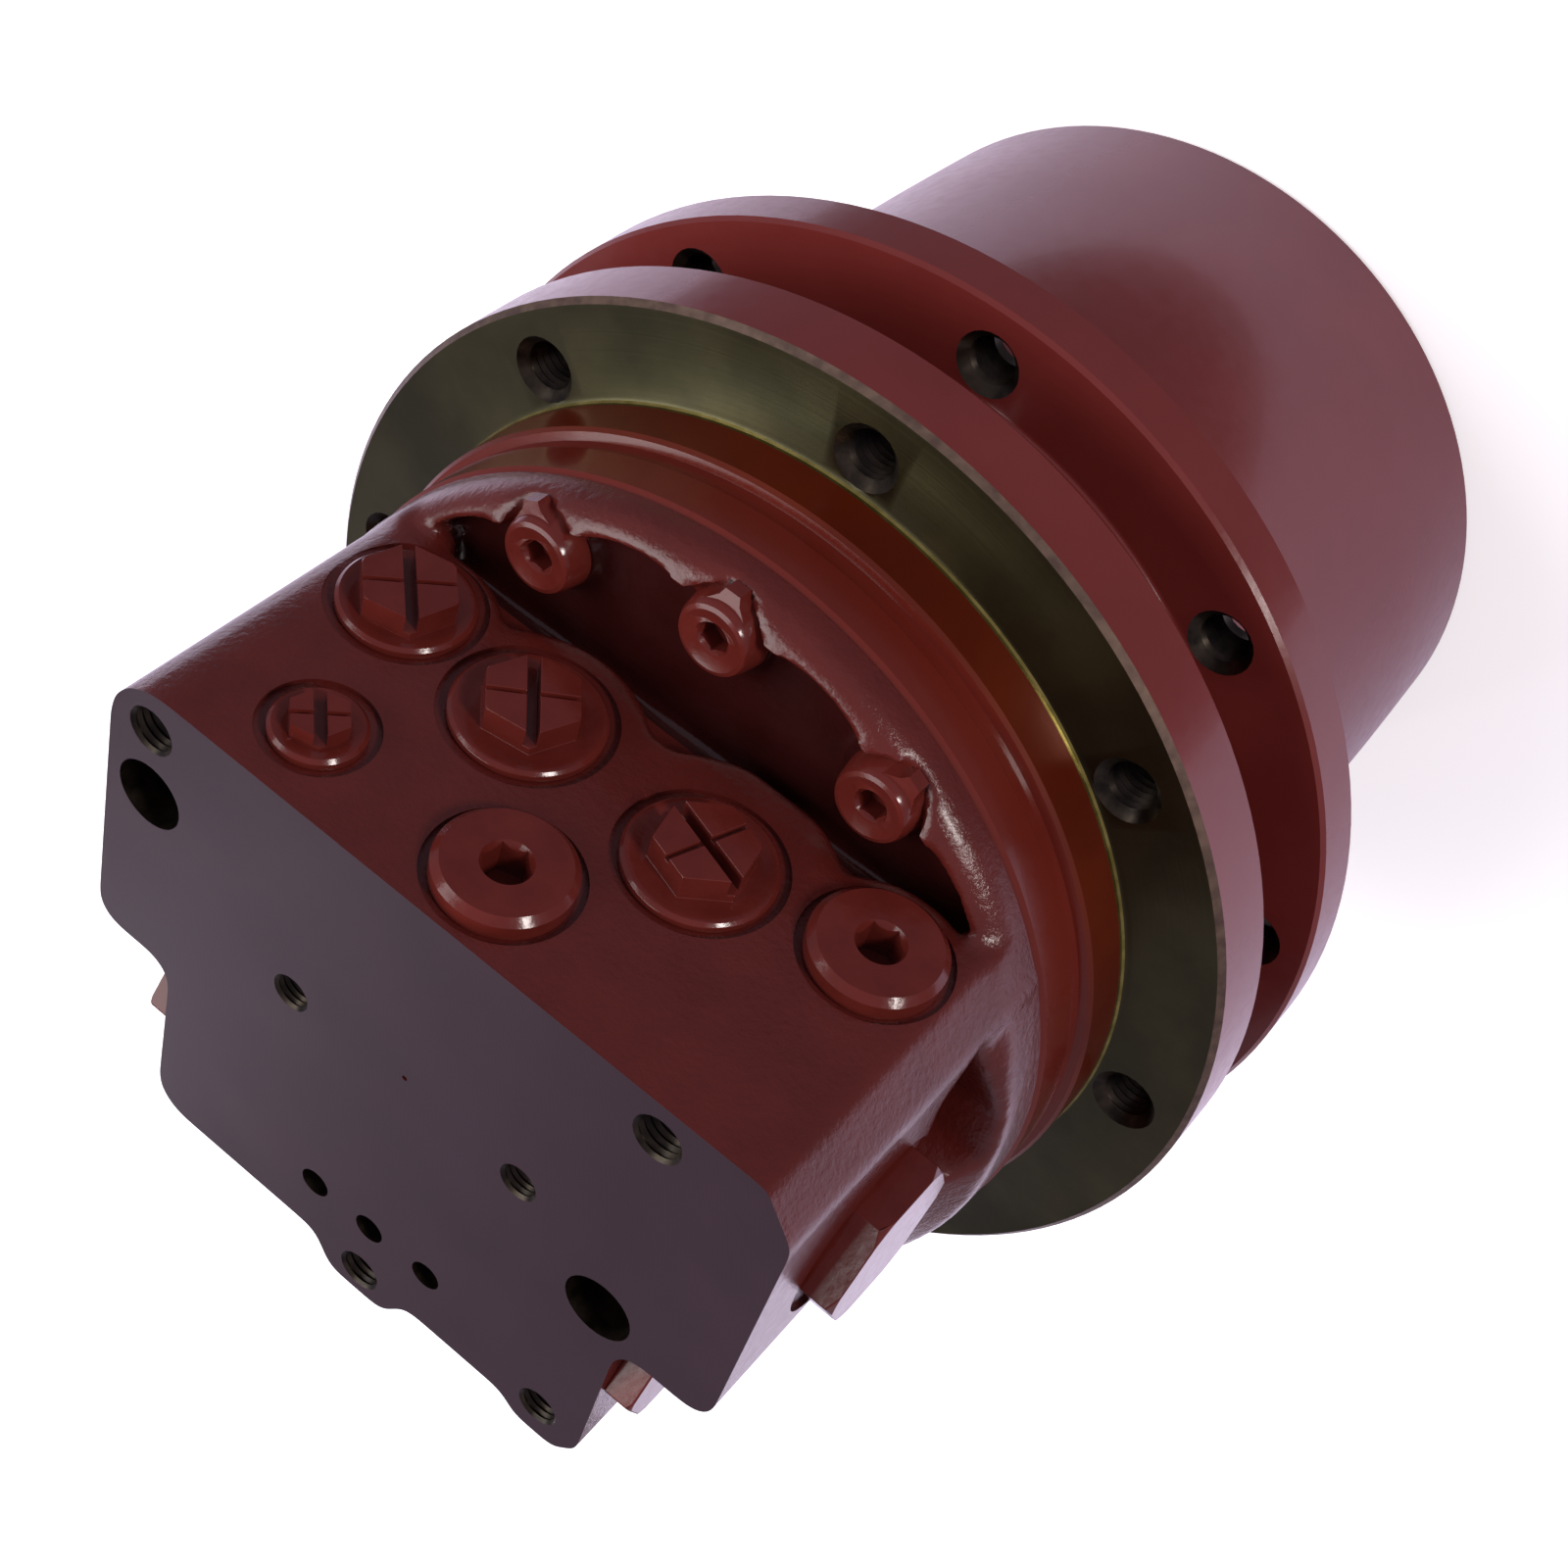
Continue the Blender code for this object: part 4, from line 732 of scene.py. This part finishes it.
carve(block, [slab(port_z, 0.30), slab(0.18, 0.1943)])
spool_bore = drill(0.0083, -0.0595, 0.0610, 48)
carve(block, [place(spool_bore, facing(0, SPOOL_Y, SPOOL_Z, (1, 0, 0)))])
cutters = []
for x, z, spot in PLUGS.values():
    cutter = stepped_drill(spot - 0.0055, spot, 0.006)
    cutters.append(place(cutter, facing(x, PLUG_FACE, z, (0, 1, 0))))
for x, y, radius, depth, tapped in PORTS:
    if tapped:
        cutter = tapped_cutter(radius * 0.94, radius + 0.0004, depth, False)
    else:
        cutter = drill(radius, -depth)
    cutters.append(place(cutter, facing(x, y, port_z)))
centre_dot = drill(0.0006, -0.0008, steps=12)
cutters.append(place(centre_dot, facing(0, 0.007, port_z)))
for spot in screw_spots:
    cutters.append(place(drill(0.0053, -0.010, 0.0), facing(spot.x, spot.y, FLOOR + 0.0005)))
for side, wall in ((-1, LEFT_WALL), (1, RIGHT_WALL)):
    cutter = stepped_drill(0.0113, 0.0198, 0.005)
    cutters.append(place(cutter, facing(wall, SPOOL_Y, SPOOL_Z, (side, 0, 0))))
    side_drill = drill(0.0088, -0.016)
    cutters.append(place(side_drill, facing(side * 0.057, SIDE_PLUG_Y, SIDE_PLUG_Z, (side, 0, 0))))
carve(block, cutters)
shade(block, 32)
report(block)

# %% [markdown]
# ## Plugs, caps and screws
#
# Each plug closes a valve bore. The large ones have a round flange and a low hex head with a wide
# slot one way and a narrow one across it. The round ones have a hex socket. All sit in their
# spotfaces with a fine gap round them, and the enamel has rounded their edges. Turned and hexagon
# shapes are joined as a forge and a lathe would leave them, and a Bevel gives the round edges.

# %% Forged shapes
CONE_SLOPE = 0.58


def hexagon(flats):
    return [tuple(polar(flats / 2 / math.cos(math.pi / 6), 60 * i).xy) for i in range(6)]


def hex_head(flats, low, high):
    """A hex prism whose corners are turned down by a cone."""
    head = raise_piece("head", hexagon(flats), low, high)
    inner = flats * 0.49
    outer = flats / 2 / math.cos(math.pi / 6) + 0.002
    cone = turn_piece("cone", [(inner, high + 0.001), (outer, high + 0.001),
                               (outer, high - (outer - inner) * CONE_SLOPE)], 48)
    return carve(head, [cone])


def bevel_edges(piece, width, segments):
    """Round every edge sharper than 30 degrees, and keep the flat faces flat in the shading."""
    rounding = piece.modifiers.new("rounding", "BEVEL")
    rounding.width = width
    rounding.segments = segments
    rounding.limit_method = "ANGLE"
    rounding.angle_limit = math.radians(30)
    rounding.harden_normals = True
    shade(piece, 28)
    bpy.ops.object.modifier_apply(modifier=rounding.name)
    return piece


def slotted_plug(name, flange, flats, head, thread):
    """A hex head with a wide and a narrow slot, on a flange with a turned rim."""
    body = turn_piece(name, [(0, -0.016), (thread, -0.016), (thread, 0), (flange, 0),
                      (flange, 0.0013), (flange - 0.0007, 0.0020), (flange - 0.0018, 0.0020),
                      (flange - 0.0032, 0.0015), (0, 0.0015)], 64)
    top = hex_head(flats, 0.0008, head)
    wide = rectangle(-flats, -0.0012, flats, 0.0012)
    carve(top, [raise_piece("slot", wide, head * 0.45, head + 0.002)])
    thin = rectangle(-0.0005, -flats, 0.0005, flats)
    carve(top, [raise_piece("slot", thin, head - 0.0012, head + 0.002)])
    carve(body, [top], "UNION")
    return bevel_edges(body, 0.0004, 3)


def round_plug(name, flange, flats, head, thread):
    """A round head with a hex socket, whose mouth is turned out."""
    body = turn_piece(name, [(0, -0.016), (thread, -0.016), (thread, 0), (flange, 0),
                      (flange, head - 0.0014), (flange - 0.0014, head), (0, head)], 72)
    carve(body, [raise_piece("socket", hexagon(flats), head - 0.008, head + 0.001)])
    mouth = [(0, head - 0.0014), (flats * 0.50, head - 0.0014), (flats * 0.62, head + 0.0004),
             (0, head + 0.0004)]
    carve(body, [turn_piece("mouth", mouth, 48)])
    return bevel_edges(body, 0.0004, 3)


def plain_hex_plug(name, flats, head, radius, length, bevel, steps=48):
    """A hex head on a round stud that reaches below z = 0."""
    body = turn_piece(name, [(0, -length), (radius, -length), (radius, 0), (0, 0)], steps)
    carve(body, [hex_head(flats, -0.0004, head)], "UNION")
    return bevel_edges(body, bevel, 2)


# %% [markdown]
# ### Plugs of the plug face
#
# Three large plugs and a small one have a slotted head, and two round ones have a socket. The
# slotted ones differ only in size and in how far each was screwed in, so a row of numbers
# describes each. Copies of one plug would be quicker, but then all slots would point one way.

# %% Put the plugs in the block
SEAT_DEPTH = 0.0009
SEAT = PLUG_FACE - SEAT_DEPTH
made = {}
for name, flange, flats, head, thread, turn in (
    ("port_plug_1", 0.0132, 0.0172, 0.0066, 0.0098, -45),
    ("port_plug_2", 0.0148, 0.0172, 0.0070, 0.0113, -50),
    ("port_plug_3", 0.0146, 0.0172, 0.0070, 0.0113, -18),
    ("check_plug", 0.0090, 0.0104, 0.0048, 0.0055, -45),
):
    plug = slotted_plug(name + "_forged", flange, flats, head, thread)
    made[name] = place(plug, facing(PLUGS[name][0], SEAT, PLUGS[name][1], (0, 1, 0), turn))
for name in ("socket_plug_1", "socket_plug_2"):
    plug = round_plug(name + "_forged", 0.0130, 0.0082, 0.0045, 0.0095)
    made[name] = place(plug, facing(PLUGS[name][0], SEAT, PLUGS[name][1], (0, 1, 0), 20))
report(*made.values())

# %% [markdown]
# ### Plugs of the side walls
#
# A big hex cap closes the spool's bore on each side, and a low hex plug sits beside it. They have
# no slots and no flange, so a round stud joined with a hexagon is enough. Left and right are made
# in a loop, because mirrored meshes would turn their faces inside out.

# %% Caps and side plugs
for side_name, side, wall in (("left", -1, LEFT_WALL), ("right", 1, RIGHT_WALL)):
    name = "spool_cap_" + side_name
    cap = plain_hex_plug(name + "_forged", 0.032, 0.0077, 0.011, 0.016, 0.0004)
    seat = wall - side * SEAT_DEPTH
    made[name] = place(cap, facing(seat, SPOOL_Y, SPOOL_Z, (side, 0, 0)))
    report(cap)
for side_name, side in (("left", -1), ("right", 1)):
    name = "side_plug_" + side_name
    plug = plain_hex_plug(name + "_forged", 0.023, 0.006, 0.0085, 0.013, 0.0004)
    made[name] = place(plug, facing(side * 0.0573, SIDE_PLUG_Y, SIDE_PLUG_Z, (side, 0, 0)))
    report(plug)

# %% [markdown]
# ### Cap screws
#
# Seven cap screws hold the block to the case. Their heads stand in the pockets, each with a hex
# socket and a cast lug that keys into the rim, so that it can't turn loose. One is modelled, and
# the others are copies with their own meshes, turned so that each lug points outwards.

# %% Model one screw and copy it
screw = turn_piece("screw_head", [(0, -0.022), (0.005, -0.022), (0.005, 0), (0.0086, 0),
                   (0.0078, 0.0046), (0.0073, 0.0055), (0.0064, 0.0058), (0.0040, 0.0050),
                   (0, 0.0050)], 48)
lug = raise_piece("lug", [(0, -0.0068), (0.0052, -0.0056), (0.0088, -0.0022), (0.0104, -0.0016),
                          (0.0104, 0.0016), (0.0088, 0.0022), (0.0052, 0.0056), (0, 0.0068)],
                  0, 0.0054)
slope = raise_piece("slope", rectangle(-0.02, -0.02, 0.02, 0.02), 0.0057, 0.02)
carve(lug, [place(slope, turned(15, "Y"))])
carve(screw, [lug], "UNION")
carve(screw, [raise_piece("socket", hexagon(0.0056), 0.0006, 0.007)])
mouth = [(0, 0.0042), (0.0030, 0.0042), (0.0042, 0.0062), (0, 0.0062)]
carve(screw, [turn_piece("mouth", mouth, 40)])
bevel_edges(screw, 0.0006, 3)
for i, (turn, spot) in enumerate(zip(SCREW_TURNS, screw_spots)):
    name = f"block_screw_{i + 1}"
    made[name] = twin(screw, name + "_head", facing(spot.x, spot.y, FLOOR, turn=turn))
report(screw)
bpy.data.objects.remove(screw)

# %% [markdown]
# ## The drum's end
#
# A round cover closes the gearbox under the drum, held by a retaining ring in a groove, with a
# fill and a drain plug. The cover is spun from its profile. Its middle is sunk a little, with a
# shallow cone round it, so only a small shading angle keeps the cone's edges crisp.

# %% Cover and its plugs
COVER_FACE = 0.006
COVER_PLUG_X = 0.05
cover = turn_piece("cover_body", [
    (0, 0.0075), (0.0300, 0.0075), (0.0340, 0.0063), (0.0797, 0.0063), (0.0797, 0.0083),
    (0.0774, 0.0083), (0.0774, 0.0113), (0.0797, 0.0113), (0.0797, 0.0127), (0.008, 0.0127),
    (0.008, 0.0187), (0, 0.0187),
])
carve(cover, [place(drill(0.0078, -0.002, 0.010), facing(COVER_PLUG_X * side, 0, COVER_FACE))
              for side in (-1, 1)])
shade(cover, 10)
made["end_cover"] = cover
for name, side in (("fill_plug", 1), ("drain_plug", -1)):
    plug = plain_hex_plug(name + "_forged", 0.017, 0.0045, 0.0075, 0.007, 0.0003, 40)
    made[name] = place(plug, facing(COVER_PLUG_X * side, 0, COVER_FACE, (0, 0, -1)))
report(cover, made["fill_plug"], made["drain_plug"])

# %% [markdown]
# ## Dress every piece
#
# Each new piece rides on its body and stands for its CAD node. A CAD node whose shape is right
# stays and only gets its finish.

# %% Ride, replace and paint
def paint(piece, *finishes):
    piece.data.materials.clear()
    for finish in finishes:
        piece.data.materials.append(finish)


FINISH_OF = {"steel": ground_steel, "gear_steel": gear_steel, "rubber": rubber, "bronze": bronze,
             "black_steel": black_steel, "maroon_paint": plug_enamel,
             "flange_paint": smooth_enamel_painted_lighter}
body_of = {node: body for body, nodes in frame["record"]["behaviour"]["bodies"].items()
           for node in nodes}
made.update({"hub_housing": hub, "motor_case": case, "port_block": block})
for name, piece in made.items():
    paint(piece, plug_enamel)
    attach(piece, body_of[name])
    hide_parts(name)
paint(cover, smooth_enamel_painted_lighter)
for name in ("fill_plug", "drain_plug"):
    paint(made[name], black_steel)
for part in frame["record"]["subparts"]:
    if part["node"] not in made:
        paint(frame["nodes"][part["node"]], FINISH_OF[part["material_slot"]])
print("new pieces", len(made), "of", len(frame["nodes"]))

# %% [markdown]
# ### Finish by place
#
# On the three castings each face gets its finish by its place: the milled port face is dull, the
# chassis flange's face is bare, the pilot has its thin coat, and the threads show steel. Picking
# faces by hand would be lost whenever the shape changes, so a rule for each casting looks at a
# face's centre and normal, and at its distance from the shaft.

# %% Rules for the three castings
def paint_by_place(piece, rule, *finishes):
    """Paint a piece. The rule says which of the finishes each face gets."""
    paint(piece, *finishes)
    for face in piece.data.polygons:
        chosen = rule(face.center, face.normal, face.center.xy.length)
        face.material_index = finishes.index(chosen)
    print(piece.name, "has", len(finishes), "finishes")


def block_rule(centre, normal, r):
    if centre.z > port_z - 0.00002 and normal.z > 0.9:
        return face_enamel
    if centre.z > port_z - 0.02 and abs(normal.z) < 0.95 and any(
        (centre.x - x) ** 2 + (centre.y - y) ** 2 < (radius + 0.0011) ** 2
        for x, y, radius, depth, tapped in PORTS
    ):
        return thread_steel
    # The floor of the recess gets the enamel painted nearly black, as painted shade.
    if centre.z < FLOOR + 0.0002 and r < 0.0872 and centre.y > PLUG_FACE - 0.01:
        return recess_shade_enamel
    return cast_enamel


def case_rule(centre, normal, r):
    if abs(centre.z - FLANGE_FACE) < 0.0001 and normal.z > 0.9:
        return flange_metal
    if r > 0.1104 and 0.1667 < centre.z < FLANGE_FACE and normal.z > 0.3:
        return worn_edge
    if 0.0905 < r < 0.0922 and FLANGE_FACE < centre.z < 0.1692:
        return chromate
    if 0.0880 < r < 0.0925 and FLANGE_FACE < centre.z < 0.1800:
        return pilot_coat
    if 0.0925 < r < 0.1065 and abs(normal.z) < 0.95 and centre.z > 0.152:
        return thread_steel
    if 0.0860 < r < 0.0925 and 0.180 < centre.z < 0.1945:
        return neck_enamel
    return smooth_enamel_painted_lighter


def hub_rule(centre, normal, r):
    if 0.0935 < r < 0.1065 and abs(normal.z) < 0.95 and centre.z > 0.1152:
        return thread_steel
    if r < 0.0799 and centre.z > 0.0129:
        return gear_steel
    return smooth_enamel_painted_lighter


paint_by_place(block, block_rule, cast_enamel, face_enamel, thread_steel, recess_shade_enamel)
paint_by_place(case, case_rule, smooth_enamel_painted_lighter, flange_metal, pilot_coat, worn_edge,
               thread_steel, neck_enamel, chromate)
paint_by_place(hub, hub_rule, smooth_enamel_painted_lighter, thread_steel, gear_steel)

# %% [markdown]
# ## Floor and light
#
# The unit was photographed in a dim, faintly lilac room and cut out onto white. The floor is
# therefore a light table, pure white for the camera, and is kept out of what the paint mirrors
# and gathers. A lilac card lies behind the unit and is only seen mirrored, where a wall turns
# away from the camera. A dark cloth lies in front, where a wall that faces the camera mirrors it
# and keeps its deep colour. A modelled room round the unit would do the same, but three flat
# sheets can each be tuned alone.

# %% Sheets of the studio
def lay_sheet(name, finish_name, rough, size, spot, cloud, tones, glow, strength, unseen_by):
    """Make a glowing sheet that is hidden from some kinds of rays, such as the camera's."""
    pick()
    bpy.ops.mesh.primitive_plane_add(size=1, location=spot)
    sheet = bpy.context.object
    sheet.name = name
    bpy.ops.transform.resize(value=(*size, 1))
    bpy.ops.object.transform_apply(location=False, rotation=False, scale=True)
    finish, shader, where = new_finish(finish_name, Roughness=rough)
    mottle(finish, shader, where, cloud, tones, 2.0)
    shader.inputs["Emission Color"].default_value = srgb(glow)
    shader.inputs["Emission Strength"].default_value = strength
    paint(sheet, finish)
    for rays in unseen_by:
        setattr(sheet, "visible_" + rays, False)
    print(name, size)
    return sheet


floor = lay_sheet("floor", "studio_floor", rough=0.9, size=(12, 12), spot=(0, 0, -0.0005),
                  cloud=0.5, tones=("f6f5f7", "f9f8fa"), glow="ffffff", strength=0.5,
                  unseen_by=("glossy", "diffuse"))
card = lay_sheet("reflector_card", "lilac_reflector_card", rough=0.9, size=(2.4, 0.71),
                 spot=(0, -0.235, -0.0002), cloud=0.5, tones=("e8def6", "eee5f9"),
                 glow="e8def6", strength=0.26, unseen_by=("camera", "diffuse", "shadow"))
cloth = lay_sheet("dark_cloth", "dark_studio_cloth", rough=0.95, size=(2.0, 1.28),
                  spot=(0, 0.77, -0.0003), cloud=1 / 3, tones=("1c1a20", "25222a"),
                  glow="e8def6", strength=0.18, unseen_by=("camera", "diffuse", "shadow"))

# %% [markdown]
# ### Sky and lamps
#
# The sky gives the even light, one wide soft lamp overhead lights the floor and the port face,
# and a low softbox in front lights the plug face but not the gap between the rings. A weak one
# behind draws the far rims. A photograph used as a sky would be simpler, but this scene may load
# no picture.

# %% Sky and lamps
def soft_lamp(name, spot, power, size, colour, target):
    pick()
    bpy.ops.object.light_add(type="AREA", location=spot)
    lamp = bpy.context.object
    lamp.name = name
    lamp.data.energy = power
    lamp.data.size = size
    lamp.data.color = srgb(colour)[:3]
    lamp.rotation_euler = (Vector(target) - Vector(spot)).to_track_quat("-Z", "Y").to_euler()
    print(name, power, "W")


sky = bpy.data.worlds.new("studio")
bpy.context.scene.world = sky
sky.use_nodes = True
sky.node_tree.nodes["Background"].inputs["Color"].default_value = srgb("e9def2")
sky.node_tree.nodes["Background"].inputs["Strength"].default_value = 0.42
soft_lamp("overhead_lamp", (-1.3, 0.2, 2.5), 75, 2.4, "ffffff", (0, 0, 0.15))
soft_lamp("front_lamp", (1.15, 0.9, 0.50), 10, 0.26, "fff6f2", (0, 0, 0.12))
soft_lamp("back_lamp", (-0.9, -1.7, 0.40), 4, 0.22, "f6f0ff", (0, 0, 0.15))
bpy.context.scene.view_settings.view_transform = "Standard"
